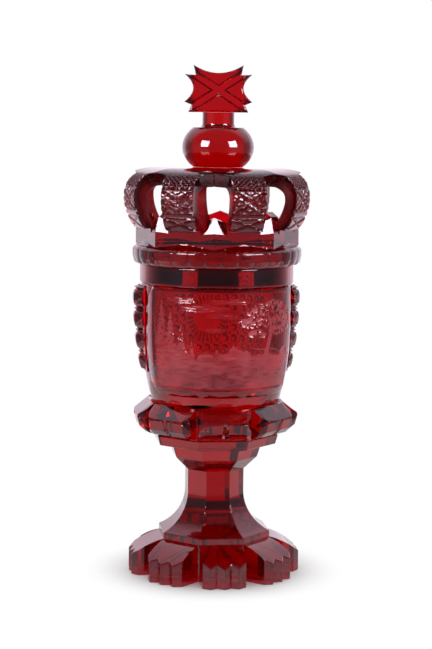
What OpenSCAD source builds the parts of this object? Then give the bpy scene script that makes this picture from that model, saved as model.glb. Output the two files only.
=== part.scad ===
// Covered goblet in cut ruby glass: lobed foot, eight-sided stem, barrel bowl and crown cover.
// Units are mm, +Z is up, the origin is the middle of the foot's underside, the front faces -Y.

/* [Joints] */
// Film of cement between two joined pieces
cement = 0.1; // [0.05:0.05:0.3]
// Gap between the cover's flange and the mouth of the bowl
mouth_gap = 0.5; // [0.3:0.1:1.5]
// Gap under the cover where it rests on the rim
rest_gap = 0.3; // [0.2:0.1:0.6]

/* [Foot] */
// Reach of a lobe from the middle of the foot
foot_reach = 56; // [50:0.5:64]
// Height of the foot under the plinth
foot_h = 24; // [18:0.5:28]
// Height of a lobe at its outer end
foot_edge_h = 13; // [8:0.5:16]
// Depth of the cuts between the teeth of a lobe
foot_tooth_cut = 2.6; // [1:0.2:4]
// Teeth on a lobe
foot_teeth = 3; // [2:1:5]
// Space between two lobes at the plinth
foot_lobe_gap = 0.8; // [0.4:0.2:4]

/* [Stem] */
// Plinth, across the flats
plinth_flats = 69.6; // [60:0.5:80]
// Height of the plinth
plinth_h = 4; // [2:0.5:8]
// Shaft, across the flats
stem_flats = 36.6; // [28:0.5:44]
// Height of the cove between plinth and shaft
cove_h = 26; // [18:0.5:36]
// Height of the straight shaft
shaft_h = 14.3; // [6:0.5:30]

/* [Shoulder] */
// Height of the shoulder's sloping underside
shoulder_slope_h = 8.5; // [4:0.2:12]
// Height of the shoulder above its slope
shoulder_h = 8.8; // [5:0.2:16]
// Shoulder at its slope, across the flats
shoulder_low_flats = 53; // [46:0.5:58]
// Shoulder at its top, across the flats
shoulder_top_flats = 58.2; // [50:0.5:66]

/* [Collar plate] */
// Height of the plate
plate_h = 6; // [4:0.2:12]
// Plate at its underside, across the flats
plate_low_flats = 75.2; // [68:0.5:82]
// Plate at its top, across the flats
plate_top_flats = 78.4; // [72:0.5:88]

/* [Calyx] */
// Height of the calyx under the bowl
calyx_h = 20; // [16:0.5:28]
// Reach of a lobe from the middle
calyx_reach = 53.2; // [48:0.5:60]
// Height of a lobe's outer face
calyx_edge_h = 10.6; // [5:0.2:12]
// Height of the outer face's lower edge over the calyx's underside
calyx_edge_z = 6.8; // [5:0.2:8]
// Depth of the cuts between the teeth of a lobe
calyx_tooth_cut = 2; // [1:0.2:3]
// Teeth on a lobe
calyx_teeth = 4; // [2:1:6]
// Space between two lobes at the bowl's base
calyx_lobe_gap = 1.2; // [0.4:0.2:4]

/* [Bowl] */
// Height of the bowl
bowl_h = 90.8; // [76:0.5:100]
// Radius of the bowl at its widest
bowl_r = 48.6; // [44:0.2:50]
// Amount by which the bowl narrows to its base
bowl_taper = 7.2; // [2:0.2:8]
// Height of the widest place over the bowl's base
bowl_widest_z = 52; // [44:1:60]
// Step from the bowl out to the plain neck
neck_step = 1.4; // [0.6:0.2:3]
// Height of the plain neck
neck_h = 11.8; // [7:0.2:14]
// Height of the slope under the neck
neck_slope_h = 0.9; // [0.4:0.1:0.9]
// Glass at the neck
bowl_wall = 8; // [3:0.2:10]
// Glass under the bowl's hollow
bowl_floor = 11; // [6:0.5:16]
// Flats round the bowl's base, across the flats
base_flats = 83.2; // [78:0.5:88]
// Height of the flats
base_flat_h = 6.5; // [5:0.5:14]
// Bevel under the base
base_bevel = 2.4; // [1:0.2:4]

/* [Medallions] */
// Angle that a medallion spans, in degrees
medal_angle = 146; // [120:1:150]
// Lower edge over the bowl's base
medal_z = 8.5; // [8:0.5:20]
// Space between a medallion and the neck
medal_top_gap = 1; // [1:0.5:16]
// Thickness of a medallion at its middle
medal_t = 1.6; // [1:0.1:2.4]
// Cut across a medallion's corners
medal_corner = 6; // [2:0.5:12]

/* [Side pads] */
// Angle that a pad spans, in degrees
pad_angle = 25; // [16:1:28]
// Lower edge over the bowl's base
pad_z = 21; // [14:0.5:30]
// Space between a pad and the neck
pad_top_gap = 2; // [1:0.5:16]
// Thickness of a pad at its upper part
pad_t = 6; // [3:0.2:8]
// Thickness of a pad at its lower end
pad_low_t = 3.2; // [2:0.2:8]
// Depth of the cuts across a pad
pad_cut = 1.8; // [0.8:0.1:2.6]
// Rows of large diamonds on a pad
pad_rows = 4; // [2:1:6]

/* [Cover] */
// Turn of the cover on the goblet
cover_turn = -10.5; // [-22.5:0.5:22.5]
// Depth of the flange in the mouth
flange_h = 11.4; // [5:0.5:14]
// Glass of the flange
flange_t = 3; // [3:0.2:6]
// Amount by which the flange is thicker at its root
flange_taper = 2.4; // [0:0.2:4]
// Height of the cover's massive floor over the rim
boss_h = 22; // [13:0.5:24]
// Lap of the cover's floor over its flange
cover_lap = 5.5; // [1.6:0.1:8]

/* [Scalloped band] */
// Reach of the band beyond the neck
band_step = 5; // [3:0.5:9]
// Height of the band
band_h = 11.8; // [9:0.3:18]
// Lobes round the band
band_lobes = 32; // [16:1:40]
// Depth of the cuts between the lobes
band_cut = 1.5; // [0.6:0.1:2.5]

/* [Crown ring] */
// Ring, across the flats
ring_flats = 97.6; // [92:0.5:104]
// Height of the ring to the gables' tips
ring_h = 21.5; // [18:0.5:30]
// Radius of the ring's hole
ring_hole_r = 42; // [38:0.5:44]
// Height of the flare at the ring's base
ring_flare_h = 3.6; // [2:0.2:5]
// Slope of a gable, in degrees
gable_slope = 28; // [15:1:40]
// Height of the bevel on a gable
gable_bevel_h = 7; // [3:0.5:10]
// Width of the bevel on a gable
gable_bevel_w = 3; // [1:0.5:5]

/* [Arches] */
// Width of an arch
arch_w = 22; // [16:0.5:24]
// Thickness of an arch at its upper end
arch_top_t = 9.3; // [6:0.3:12]
// Thickness of an arch at its widest place
arch_t = 8.2; // [6:0.2:10]
// Reach of an arch from the middle
arch_reach = 60.2; // [56:0.2:66]
// Reach of an arch at its foot
arch_foot_reach = 53; // [51:0.2:55]
// Height from an arch's foot to its widest place
arch_widest_h = 19.5; // [14:0.5:26]
// Height from the widest place to the top
arch_rise = 19; // [12:0.5:26]
// Depth of the cuts across an arch
arch_cut = 1.9; // [0.8:0.1:2.6]
// Height of an arch's seat over the ring's underside
seat_h = 11.1; // [10:0.5:15]

/* [Orb and cross] */
// Radius of the orb
orb_r = 23.2; // [18:0.2:25]
// Height of the orb
orb_h = 25.4; // [20:0.2:32]
// Power of the orb's profile: 2 is an ellipse, more is squarer
orb_power = 3.1; // [2:0.1:4]
// Radius of the orb's flat underside
orb_seat_r = 11; // [10:0.5:14]
// Radius of the cross's neck
cross_neck_r = 10.3; // [7:0.1:10.5]
// Height of the neck
cross_neck_h = 9.5; // [5:0.5:16]
// Height of the cross over its neck
cross_h = 30.8; // [22:0.2:38]
// Width of the cross over its side arms
cross_w = 43.6; // [34:0.2:52]
// Width of the cross over its upper arm
cross_top_w = 32; // [24:0.5:36]
// Width of the cross over its lower arm
cross_low_w = 38.6; // [30:0.2:40]
// Thickness of the cross
cross_t = 13; // [9:0.5:18]
// Depth of the diagonal cuts on the cross
cross_cut = 1.6; // [0.6:0.1:2.5]

/* [Hidden] */
$fn = 96;
half_step = 22.5;
eps = 1;
// Heights of the seats, from the foot up
stem_z = foot_h + cement;
cove_z = stem_z + plinth_h;
shaft_z = cove_z + cove_h;
shoulder_z = shaft_z + shaft_h + cement;
shoulder_mid_z = shoulder_z + shoulder_slope_h;
plate_z = shoulder_mid_z + shoulder_h + cement;
calyx_z = plate_z + plate_h + cement;
bowl_z = calyx_z + calyx_h + cement;
rim_z = bowl_z + bowl_h;
neck_z = rim_z - neck_h;
widest_z = bowl_z + bowl_widest_z;
cover_z = rim_z + rest_gap;
ring_z = cover_z + band_h + cement;
ring_top_z = ring_z + ring_h;
seat_z = ring_z + seat_h;
arch_z = seat_z + cement;
arch_wide_z = arch_z + arch_widest_h;
arch_top_z = arch_wide_z + arch_rise;
hub_h = arch_top_t;
orb_z = arch_top_z + cement;
neck_foot_z = orb_z + orb_h + cement;
cross_z = neck_foot_z + cross_neck_h;
// Half widths and radii
plinth_a = plinth_flats / 2;
stem_a = stem_flats / 2;
shoulder_a = shoulder_top_flats / 2;
plate_a = plate_top_flats / 2;
base_a = base_flats / 2;
ring_a = ring_flats / 2;
neck_r = bowl_r + neck_step;
band_r = neck_r + band_step;
mouth_r = neck_r - bowl_wall;
flange_r = mouth_r - mouth_gap;
cover_floor_r = flange_r + cover_lap;
// Fields on the bowl
medal_half = medal_angle / 2;
medal_h = bowl_h - neck_h - medal_z - medal_top_gap;
pad_half = pad_angle / 2;
pad_h = bowl_h - neck_h - pad_z - pad_top_gap;
foot_lobe_w = 2 * plinth_a * tan(half_step) - foot_lobe_gap;
calyx_lobe_w = 2 * base_a * tan(half_step) - calyx_lobe_gap;
ring_side = 2 * ring_a * tan(half_step);
cove_r = (pow(plinth_a - stem_a, 2) + pow(cove_h, 2)) / (2 * (plinth_a - stem_a));
hub_a = (arch_w / 2 + cement) / tan(half_step);
arch_end = hub_a + cement;
arch_foot_in = ring_hole_r + 2.5;

// Radius of the bowl's outside under the neck
function bowl_out(z) = z > widest_z ? bowl_r
    : bowl_r - bowl_taper * pow((widest_z - z) / bowl_widest_z, 2);

// Corners of an eight-sided outline with a flat to the front
function eight(a, z) = [for (k = [0:7])
    [a / cos(half_step) * cos(45 * k - 67.5), a / cos(half_step) * sin(45 * k - 67.5), z]];

// Eight-sided solid through rings given as [half of the width across the flats, height]
module eight_loft(rings) {
    n = len(rings);
    points = [for (q = rings) each eight(q[0], q[1])];
    sides = [for (i = [0:n - 2], k = [0:7])
        [8 * i + k, 8 * (i + 1) + k, 8 * (i + 1) + (k + 1) % 8, 8 * i + (k + 1) % 8]];
    low = [[for (k = [0:7]) k]];
    top = [[for (k = [0:7]) 8 * n - 1 - k]];
    polyhedron(points, concat(low, sides, top));
}

// Copies at the eight directions
module eightfold(turn = 0) {
    for (k = [0:7]) rotate([0, 0, turn + 45 * k]) children();
}

// Bar across a lobe: the outline is given as [distance from the middle, height]
module lobe_bar(outline, w) {
    rotate([90, 0, -90])
        linear_extrude(height = w, center = true)
            polygon(outline);
}

// Upright V cuts in the end of a lobe, one at each tooth's edge
module tooth_cuts(reach, w, teeth, depth, z, h) {
    pitch = w / teeth;
    for (i = [0:teeth])
        translate([(i - teeth / 2) * pitch, -reach, z])
            linear_extrude(height = h)
                polygon([[-pitch * 0.36, -eps], [pitch * 0.36, -eps], [pitch * 0.36, 0],
                    [0, depth], [-pitch * 0.36, 0]]);
}

// Height of a foot lobe's rounded top, for a share of the way to its end
function foot_top(u) = foot_h - (foot_h - foot_edge_h) * (0.45 * u + 0.55 * u * u);

module foot() {
    outline = concat([[0, 0], [foot_reach, 0]],
        [for (i = [10:-1:0]) let (u = i / 10) [plinth_a + (foot_reach - plinth_a) * u, foot_top(u)]],
        [[0, foot_h]]);
    color([0.55, 0.02, 0.05])
        union() {
            eight_loft([[plinth_a, 0], [plinth_a, foot_h]]);
            eightfold() difference() {
                lobe_bar(outline, foot_lobe_w);
                tooth_cuts(foot_reach, foot_lobe_w, foot_teeth, foot_tooth_cut, -eps, foot_h);
            }
        }
}

module stem() {
    cove = [for (i = [0:10]) let (z = cove_h * (1 - i / 10))
        [stem_a + cove_r - sqrt(cove_r * cove_r - z * z), shaft_z - z]];
    color([0.55, 0.02, 0.05])
        eight_loft(concat([[plinth_a, stem_z]], cove, [[stem_a, shaft_z + shaft_h]]));
}

module shoulder() {
    color([0.55, 0.02, 0.05])
        eight_loft([[stem_a, shoulder_z], [shoulder_low_flats / 2, shoulder_mid_z],
            [shoulder_a, shoulder_mid_z + shoulder_h]]);
}

module collar_plate() {
    color([0.55, 0.02, 0.05])
        eight_loft([[plate_low_flats / 2, plate_z], [plate_a, plate_z + plate_h]]);
}

module calyx() {
    top = calyx_z + calyx_h;
    low_edge = calyx_z + calyx_edge_z;
    outline = [[0, calyx_z], [plate_a - 0.4, calyx_z], [calyx_reach - 5.9, low_edge - 3.6],
        [calyx_reach - 1.9, low_edge], [calyx_reach, low_edge + 0.55 * calyx_edge_h],
        [calyx_reach - 0.8, low_edge + calyx_edge_h], [base_a + 2.6, top + 4],
        [base_a - base_bevel + 0.9, top], [0, top]];
    color([0.55, 0.02, 0.05])
        union() {
            eight_loft([[plate_a - 0.4, calyx_z], [base_a - 1.2, calyx_z + 4], [base_a - 1.2, top - 2],
                [base_a - base_bevel - 0.6, top]]);
            eightfold() difference() {
                lobe_bar(outline, calyx_lobe_w);
                tooth_cuts(calyx_reach, calyx_lobe_w, calyx_teeth, calyx_tooth_cut, calyx_z - eps,
                    calyx_h + 2 * eps);
            }
        }
}

module bowl() {
    body = [for (i = [0:12]) let (z = bowl_z + (widest_z - bowl_z) * i / 12) [bowl_out(z), z]];
    hollow_z = bowl_z + bowl_floor;
    in_r = bowl_r - bowl_wall;
    hollow = [for (i = [0:8]) let (a = 90 * i / 8)
        [in_r * pow(sin(a), 0.6), hollow_z + (widest_z - hollow_z) * (1 - pow(cos(a), 0.6))]];
    color([0.55, 0.02, 0.05])
        difference() {
            rotate_extrude()
                polygon(concat([[0, bowl_z]], body,
                    [[bowl_r, neck_z - neck_slope_h], [neck_r, neck_z], [neck_r, rim_z], [0, rim_z]]));
            rotate_extrude()
                polygon(concat(hollow, [[in_r, neck_z - 4], [mouth_r, neck_z - 1], [mouth_r, rim_z + eps],
                    [0, rim_z + eps]]));
            difference() {
                translate([0, 0, bowl_z - eps])
                    cylinder(h = base_flat_h + eps, r = bowl_r + 4);
                eight_loft([[base_a - base_bevel - eps, bowl_z - eps], [base_a, bowl_z + base_bevel],
                    [bowl_out(bowl_z + base_flat_h), bowl_z + base_flat_h + eps]]);
            }
        }
}

// Sector of a shell on the bowl's outside, with its middle to the front
module bowl_sector(outline, half) {
    rotate([0, 0, -90 - half])
        rotate_extrude(angle = 2 * half)
            polygon(outline);
}

// Outline of a raised field on the bowl: [radius, height] from its lower to its upper edge
function field(z0, h, t, n) = concat(
    [for (i = [0:n]) let (z = z0 + h * i / n) [bowl_out(z) + cement, z]],
    [for (i = [n:-1:0]) let (z = z0 + h * i / n) [bowl_out(z) + t, z]]);

module medallion() {
    z0 = bowl_z + medal_z;
    middle = z0 + medal_h / 2;
    corner_cube = 3 * medal_corner;
    corner_shift = corner_cube / sqrt(8) - medal_corner / 2;
    difference() {
        bowl_sector(field(z0, medal_h, medal_t, 8), medal_half);
        for (side = [-1, 1], end = [-1, 1])
            rotate([0, 0, side * medal_half])
                translate([side * corner_shift, -bowl_r, middle + end * (medal_h / 2 + corner_shift)])
                    rotate([0, 45, 0])
                        cube([corner_cube, 10 * medal_t, corner_cube], center = true);
    }
}

module front_medallion() {
    color([0.6, 0.03, 0.06]) medallion();
}

module back_medallion() {
    color([0.6, 0.03, 0.06]) rotate([0, 0, 180]) medallion();
}

// Thickness of a pad at a height: it grows over the lower part and then stays
function pad_thick(z) = pad_low_t
    + (pad_t - pad_low_t) * min(1, (z - bowl_z - pad_z) / pad_h / 0.7);

// Upright pad with rows of large diamonds parted by a narrow ridge between two cuts
module side_pad() {
    z0 = bowl_z + pad_z;
    row = pad_h / pad_rows;
    steps = [[0.09, 0.3], [0.2, 0], [0.68, 0], [0.79, 1], [0.88, 0.35], [0.97, 1]];
    outer = [for (i = [0:pad_rows - 1], q = steps)
        let (z = z0 + row * (i + q[0])) [bowl_out(z) + pad_thick(z) - pad_cut * q[1], z]];
    inner = [for (i = [8:-1:0]) let (z = z0 + pad_h * i / 8) [bowl_out(z) + cement, z]];
    bowl_sector(concat([[bowl_out(z0) + pad_low_t - pad_cut, z0]], outer,
        [[bowl_out(z0 + pad_h) + pad_t - 2 * pad_cut, z0 + pad_h]], inner), pad_half);
}

module left_pad() {
    color([0.5, 0.02, 0.05]) rotate([0, 0, -90]) side_pad();
}

module right_pad() {
    color([0.5, 0.02, 0.05]) rotate([0, 0, 90]) side_pad();
}

module cover_plug() {
    floor_z = cover_z + band_h;
    boss_z = cover_z + boss_h;
    boss_r = ring_hole_r - cement;
    root_r = flange_r - flange_t - flange_taper;
    color([0.55, 0.02, 0.05])
        rotate_extrude()
            polygon([[0, cover_z + 1], [root_r, cover_z + 1], [flange_r - flange_t, cover_z - flange_h],
                [flange_r - 0.6, cover_z - flange_h], [flange_r, cover_z - flange_h + 0.6],
                [flange_r, cover_z], [cover_floor_r, cover_z], [cover_floor_r, floor_z],
                [boss_r, floor_z], [boss_r, boss_z], [0, boss_z + 1]]);
}

module scalloped_band() {
    hole = cover_floor_r + cement;
    top = cover_z + band_h;
    cut_half = 0.84 * band_r * sin(180 / band_lobes);
    color([0.55, 0.02, 0.05])
        difference() {
            rotate_extrude()
                polygon([[hole, cover_z], [band_r - 2.2, cover_z], [band_r - 1.2, cover_z + 0.1 * band_h],
                    [band_r - 0.4, cover_z + 0.4 * band_h], [band_r, cover_z + 0.65 * band_h],
                    [band_r - 0.4, cover_z + 0.82 * band_h], [band_r - 2, cover_z + 0.95 * band_h],
                    [band_r - 3, top], [hole, top]]);
            for (i = [0:band_lobes - 1])
                rotate([0, 0, cover_turn + 360 * (i + 0.5) / band_lobes])
                    translate([0, -band_r, cover_z - eps])
                        linear_extrude(height = band_h + 2 * eps)
                            polygon([[-cut_half, -eps], [cut_half, -eps], [cut_half, 0], [0, band_cut],
                                [-cut_half, 0]]);
        }
}

// Space over the two slopes of a V valley, from a distance beside its low line outwards
module gable_cut(rise, from) {
    far = 0.7 * ring_side;
    high = far * rise + ring_h;
    for (side = [-1, 1])
        rotate([90, 0, 0])
            linear_extrude(height = 1.2 * ring_a, center = true)
                polygon([[side * from, from * rise], [side * far, far * rise], [side * far, high],
                    [side * from, high]]);
}

module crown_ring() {
    rise = tan(gable_slope);
    valley_z = ring_top_z - ring_side / 2 * rise;
    tilt = atan2(gable_bevel_h, gable_bevel_w);
    seat_half = arch_w / 2 + cement;
    color([0.6, 0.03, 0.06])
        difference() {
            union() {
                eight_ring_body();
                translate([0, 0, ring_z])
                    rotate_extrude()
                        polygon([[ring_hole_r, 0], [band_r - 3.2, 0], [ring_a - 0.4, ring_flare_h],
                            [ring_hole_r, ring_flare_h]]);
            }
            translate([0, 0, ring_z - eps]) cylinder(h = ring_h + 2 * eps, r = ring_hole_r);
            eightfold(cover_turn + half_step) {
                translate([0, -ring_a, valley_z]) gable_cut(rise, seat_half - eps);
                translate([0, -ring_a + gable_bevel_w, valley_z])
                    rotate([tilt, 0, 0])
                        gable_cut(rise * cos(tilt), seat_half - 0.4);
                translate([-seat_half, -ring_a - eps, seat_z])
                    cube([2 * seat_half, ring_a, ring_h]);
            }
        }
}

module eight_ring_body() {
    rotate([0, 0, cover_turn + half_step])
        eight_loft([[ring_a, ring_z], [ring_a, ring_top_z]]);
}

// Outer line of an arch from its foot (0) over its widest place (1) to its upper end (2)
function arch_outer(u) = u <= 1
    ? [arch_reach - (arch_reach - arch_foot_reach) * pow(1 - u, 2), arch_z + arch_widest_h * u]
    : [arch_end + (arch_reach - arch_end) * pow(cos(90 * (u - 1)), 0.72),
        arch_wide_z + arch_rise * pow(sin(90 * (u - 1)), 0.72)];

// Inner line of an arch, over the same stretch
function arch_inner(u) = u <= 1
    ? [arch_reach - arch_t - (arch_reach - arch_t - arch_foot_in) * pow(1 - u, 2), arch_z + arch_widest_h * u]
    : [arch_end + (arch_reach - arch_t - arch_end) * pow(cos(90 * (u - 1)), 0.8),
        arch_wide_z + (arch_rise - arch_top_t) * pow(sin(90 * (u - 1)), 0.8)];

// Cut across an arch at a place on its outer line
module arch_cut_at(u, w) {
    p = arch_outer(u);
    q = arch_outer(u + 0.02);
    translate(p)
        rotate(atan2(q[1] - p[1], q[0] - p[0]))
            polygon([[-w, -eps], [w, -eps], [w, 0], [0, arch_cut], [-w, 0]]);
}

module crown_arch(i) {
    outer = [for (k = [0:24]) arch_outer(k / 12)];
    inner = [for (k = [20:-1:0]) arch_inner(k / 10)];
    color([0.5, 0.02, 0.05])
        rotate([0, 0, cover_turn + half_step + 45 * (i - 1)])
            rotate([90, 0, -90])
                linear_extrude(height = arch_w, center = true)
                    difference() {
                        polygon(concat(outer, inner));
                        for (u = [0.3, 0.46, 0.98, 1.12]) arch_cut_at(u, 1.5);
                    }
}

module crown_arch_1() { crown_arch(1); }
module crown_arch_2() { crown_arch(2); }
module crown_arch_3() { crown_arch(3); }
module crown_arch_4() { crown_arch(4); }
module crown_arch_5() { crown_arch(5); }
module crown_arch_6() { crown_arch(6); }
module crown_arch_7() { crown_arch(7); }
module crown_arch_8() { crown_arch(8); }

module crown_hub() {
    color([0.55, 0.02, 0.05])
        rotate([0, 0, cover_turn + half_step])
            translate([0, 0, arch_top_z - hub_h])
                rotate([0, 0, half_step])
                    cylinder(h = hub_h, r = hub_a / cos(half_step), $fn = 8);
}

module orb() {
    mid = orb_z + orb_h / 2;
    line = [for (i = [0:16]) let (a = -90 + 180 * i / 16)
        [orb_r * pow(cos(a), 2 / orb_power), mid + orb_h / 2 * sign(a) * pow(abs(sin(a)), 2 / orb_power)]];
    color([0.62, 0.03, 0.06])
        rotate_extrude()
            polygon(concat([[0, orb_z]], [for (p = line) if (p[0] > orb_seat_r * 0.9) p],
                [[0, orb_z + orb_h]]));
}

// Half of the cross's outline, then its mirror image, about the middle line
module cross_outline() {
    side_top = cross_h * 0.8;
    side_low = cross_h * 0.22;
    half = [[cross_low_w / 2, 0], [cross_low_w / 2 - 2.2, cross_h * 0.155], [cross_w / 2, side_low],
        [cross_w / 2, side_top], [cross_top_w / 2 - 1.4, cross_h * 0.785], [cross_top_w / 2, cross_h]];
    scoop_h = (side_top - side_low) / 2;
    scoop_d = cross_w * 0.13;
    scoop_r = (scoop_h * scoop_h + scoop_d * scoop_d) / (2 * scoop_d);
    sag = cross_h * 0.17;
    top_half = cross_top_w / 2;
    top_r = (top_half * top_half + sag * sag) / (2 * sag);
    difference() {
        polygon(concat(half, [for (i = [5:-1:0]) [-half[i][0], half[i][1]]]));
        for (side = [-1, 1])
            translate([side * (cross_w / 2 - scoop_d + scoop_r), (side_top + side_low) / 2])
                circle(r = scoop_r);
        translate([0, cross_h - sag + top_r]) circle(r = top_r);
    }
}

module cross() {
    cut_side = cross_cut * sqrt(2);
    color([0.65, 0.03, 0.06])
        rotate([0, 0, cover_turn])
            union() {
                translate([0, 0, neck_foot_z]) cylinder(h = cross_neck_h + 0.5, r = cross_neck_r);
                difference() {
                    translate([0, 0, cross_z])
                        rotate([90, 0, 0])
                            linear_extrude(height = cross_t, center = true) cross_outline();
                    for (face = [-1, 1], lean = [-1, 1])
                        translate([0, face * cross_t / 2, cross_z + cross_h * 0.47])
                            rotate([0, lean * 57, 0])
                                rotate([45, 0, 0])
                                    cube([2 * cross_w, cut_side, cut_side], center = true);
                }
            }
}

foot();
stem();
shoulder();
collar_plate();
calyx();
bowl();
front_medallion();
back_medallion();
left_pad();
right_pad();
cover_plug();
scalloped_band();
crown_ring();
crown_arch_1();
crown_arch_2();
crown_arch_3();
crown_arch_4();
crown_arch_5();
crown_arch_6();
crown_arch_7();
crown_arch_8();
crown_hub();
orb();
cross();
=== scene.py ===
"""Covered goblet in cut ruby glass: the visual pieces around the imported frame.

Lengths are millimetres in the part's own frame (origin under the middle of the
foot, +Z up, front to -Y) until a mesh is written, which is in metres.  Angles
called phi run from the front (-Y) towards +X, anticlockwise seen from above.
"""
from __future__ import annotations

import logging
import math
from dataclasses import dataclass
from enum import Enum

import bmesh
import bpy
import numpy as np
from mathutils import Euler, Matrix

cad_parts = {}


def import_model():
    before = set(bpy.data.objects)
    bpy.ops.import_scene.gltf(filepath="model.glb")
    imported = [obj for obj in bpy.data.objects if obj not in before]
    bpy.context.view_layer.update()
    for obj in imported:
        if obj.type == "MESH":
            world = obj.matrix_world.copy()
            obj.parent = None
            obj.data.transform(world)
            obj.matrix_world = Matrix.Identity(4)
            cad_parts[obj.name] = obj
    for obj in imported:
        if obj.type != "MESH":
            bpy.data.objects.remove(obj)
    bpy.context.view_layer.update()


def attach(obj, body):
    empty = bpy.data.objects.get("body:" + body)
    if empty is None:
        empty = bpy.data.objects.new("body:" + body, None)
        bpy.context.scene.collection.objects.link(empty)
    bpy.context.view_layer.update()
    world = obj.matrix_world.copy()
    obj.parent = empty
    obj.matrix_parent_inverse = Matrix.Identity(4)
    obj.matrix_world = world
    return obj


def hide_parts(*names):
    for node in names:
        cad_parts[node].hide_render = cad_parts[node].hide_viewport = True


LOG = logging.getLogger("goblet")
MM = 0.001
HALF_STEP = math.radians(22.5)
STEP = math.radians(45.0)
MERGE = 2e-6
SHARP = math.radians(14.0)

Colour = tuple[float, float, float]
Pair = tuple[float, float]
Triple = tuple[float, float, float]
Layer = tuple[np.ndarray, np.ndarray]
Feed = bpy.types.NodeSocket | float | Colour


class Cap(Enum):
    """Ways to close the two ends of a loft."""

    FAN = "triangles to the middle of the end ring"
    STRIP = "the two halves of the end ring joined across"
    LOOP = "the last ring joined to the first"


class Body(Enum):
    """Bodies of the frame that the pieces ride on."""

    GOBLET = "goblet"
    COVER = "cover"


class Slot(Enum):
    """Material slots of the record."""

    CLEAR = "ruby_glass"
    CUT = "cut_glass"
    ENGRAVED = "engraved_glass"


class Finish(Enum):
    """Finishes of the pieces."""

    POLISHED = "massive polished glass"
    # Painted shade: this finish is tinted darker above the neck's height.
    WALL = "thinner glass of the bowl's wall"
    # Painted shade: the marks' near-black tint darkens the lens cuts' rays and one side of their
    # edges.
    LENS = "wall glass with lens cuts"
    # Painted shade: the dark marked tint of this finish darkens the arches' inner faces.
    STRAP = "deep glass with fine cuts"
    FLANGE = "deep glass of the cover's plug"
    # Painted shade: the cross is tinted darker than its neck, and its marks are near-black.
    CROSS = "deep glass of the cross over its lighter neck"
    ENGRAVED = "wall glass with a ground engraving"


@dataclass
class Shell:
    """Closed surface before it becomes a mesh.

    Attributes:
        points: Corners, one row each, in mm.
        quads: Four-sided faces as rows of corner numbers.
        tris: Three-sided faces as rows of corner numbers.
        fused: One number for each quad and then each triangle: 1 where the
            face is melted to a neighbour, so that no surface shows there.
        matte_or_shade: One number for each corner: 1 where the glass is marked, as ground
        matte or with a near-black tint that paints shade on it.
    """

    points: np.ndarray
    quads: np.ndarray
    tris: np.ndarray
    fused: np.ndarray
    matte_or_shade: np.ndarray


def smooth(edge0: float, edge1: float, value: np.ndarray) -> np.ndarray:
    """Ease from 0 at edge0 to 1 at edge1 along 3t^2 - 2t^3.

    Args:
        edge0: Value at which the result is 0.
        edge1: Value at which the result is 1.
        value: Numbers to ease.

    Returns:
        The eased numbers.
    """
    t = np.clip((value - edge0) / (edge1 - edge0), 0.0, 1.0)
    return t * t * (3.0 - 2.0 * t)


def groove(distance: np.ndarray, half: float, depth: float) -> np.ndarray:
    """Depth of a V cut: full on its line and straight up to 0 at half its width.

    Args:
        distance: Distances from the cut's line.
        half: Half of the cut's width.
        depth: Depth on the line.

    Returns:
        The depths.
    """
    return depth * np.clip(1.0 - np.abs(distance) / half, 0.0, 1.0)


def dome(far: np.ndarray) -> np.ndarray:
    """Depth of a round hollow, 1 - r^2 inside the unit circle and 0 outside."""
    return np.clip(1.0 - far ** 2, 0.0, 1.0)


def ease(profile: np.ndarray, radius: float, steps: int = 3) -> np.ndarray:
    """Round the inner corners of a line.

    Each corner gives way to a quadratic curve that leaves and meets the two
    neighbouring stretches at the radius's distance, or at 0.45 of a short one.

    Args:
        profile: Points of the line, one row each.
        radius: Distance from the corner at which the rounding starts.
        steps: Stretches in a rounding.

    Returns:
        The points of the rounded line.
    """
    corner = profile[1:-1]
    back = profile[:-2] - corner
    ahead = profile[2:] - corner
    back_len = np.linalg.norm(back, axis=1, keepdims=True)
    ahead_len = np.linalg.norm(ahead, axis=1, keepdims=True)
    reach = np.minimum(radius, 0.45 * np.minimum(back_len, ahead_len))
    start = (corner + back / back_len * reach)[:, None, :]
    end = (corner + ahead / ahead_len * reach)[:, None, :]
    t = np.linspace(0.0, 1.0, steps + 1)[None, :, None]
    arcs = (1 - t) ** 2 * start + 2 * t * (1 - t) * corner[:, None, :] + t ** 2 * end
    return np.concatenate([profile[:1], arcs.reshape(-1, profile.shape[1]), profile[-1:]])


def way_along(line: np.ndarray) -> np.ndarray:
    """Distances along a line from its first point to each of its points."""
    steps = np.linalg.norm(np.diff(line, axis=0), axis=1)
    return np.concatenate([[0.0], np.cumsum(steps)])


def points_at(at: np.ndarray, way: np.ndarray, line: np.ndarray) -> np.ndarray:
    """Points of a flat line at distances along it, between its own points by shares."""
    return np.stack([np.interp(at, way, line[:, k]) for k in (0, 1)], axis=-1)


def around(radius: np.ndarray, phi: np.ndarray, z: np.ndarray) -> np.ndarray:
    """Points at a radius and an angle about the Z axis: (r sin phi, -r cos phi, z)."""
    radius, phi, z = np.broadcast_arrays(radius, phi, z)
    return np.stack([radius * np.sin(phi), -radius * np.cos(phi), z], axis=-1)


def spun(profile: np.ndarray, degrees: float) -> np.ndarray:
    """Rings of a body turned about the axis, with a column every so many degrees."""
    phi = np.radians(np.arange(0.0, 360.0, degrees))
    return around(profile[:, :1], phi[None, :], profile[:, 1:])


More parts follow.
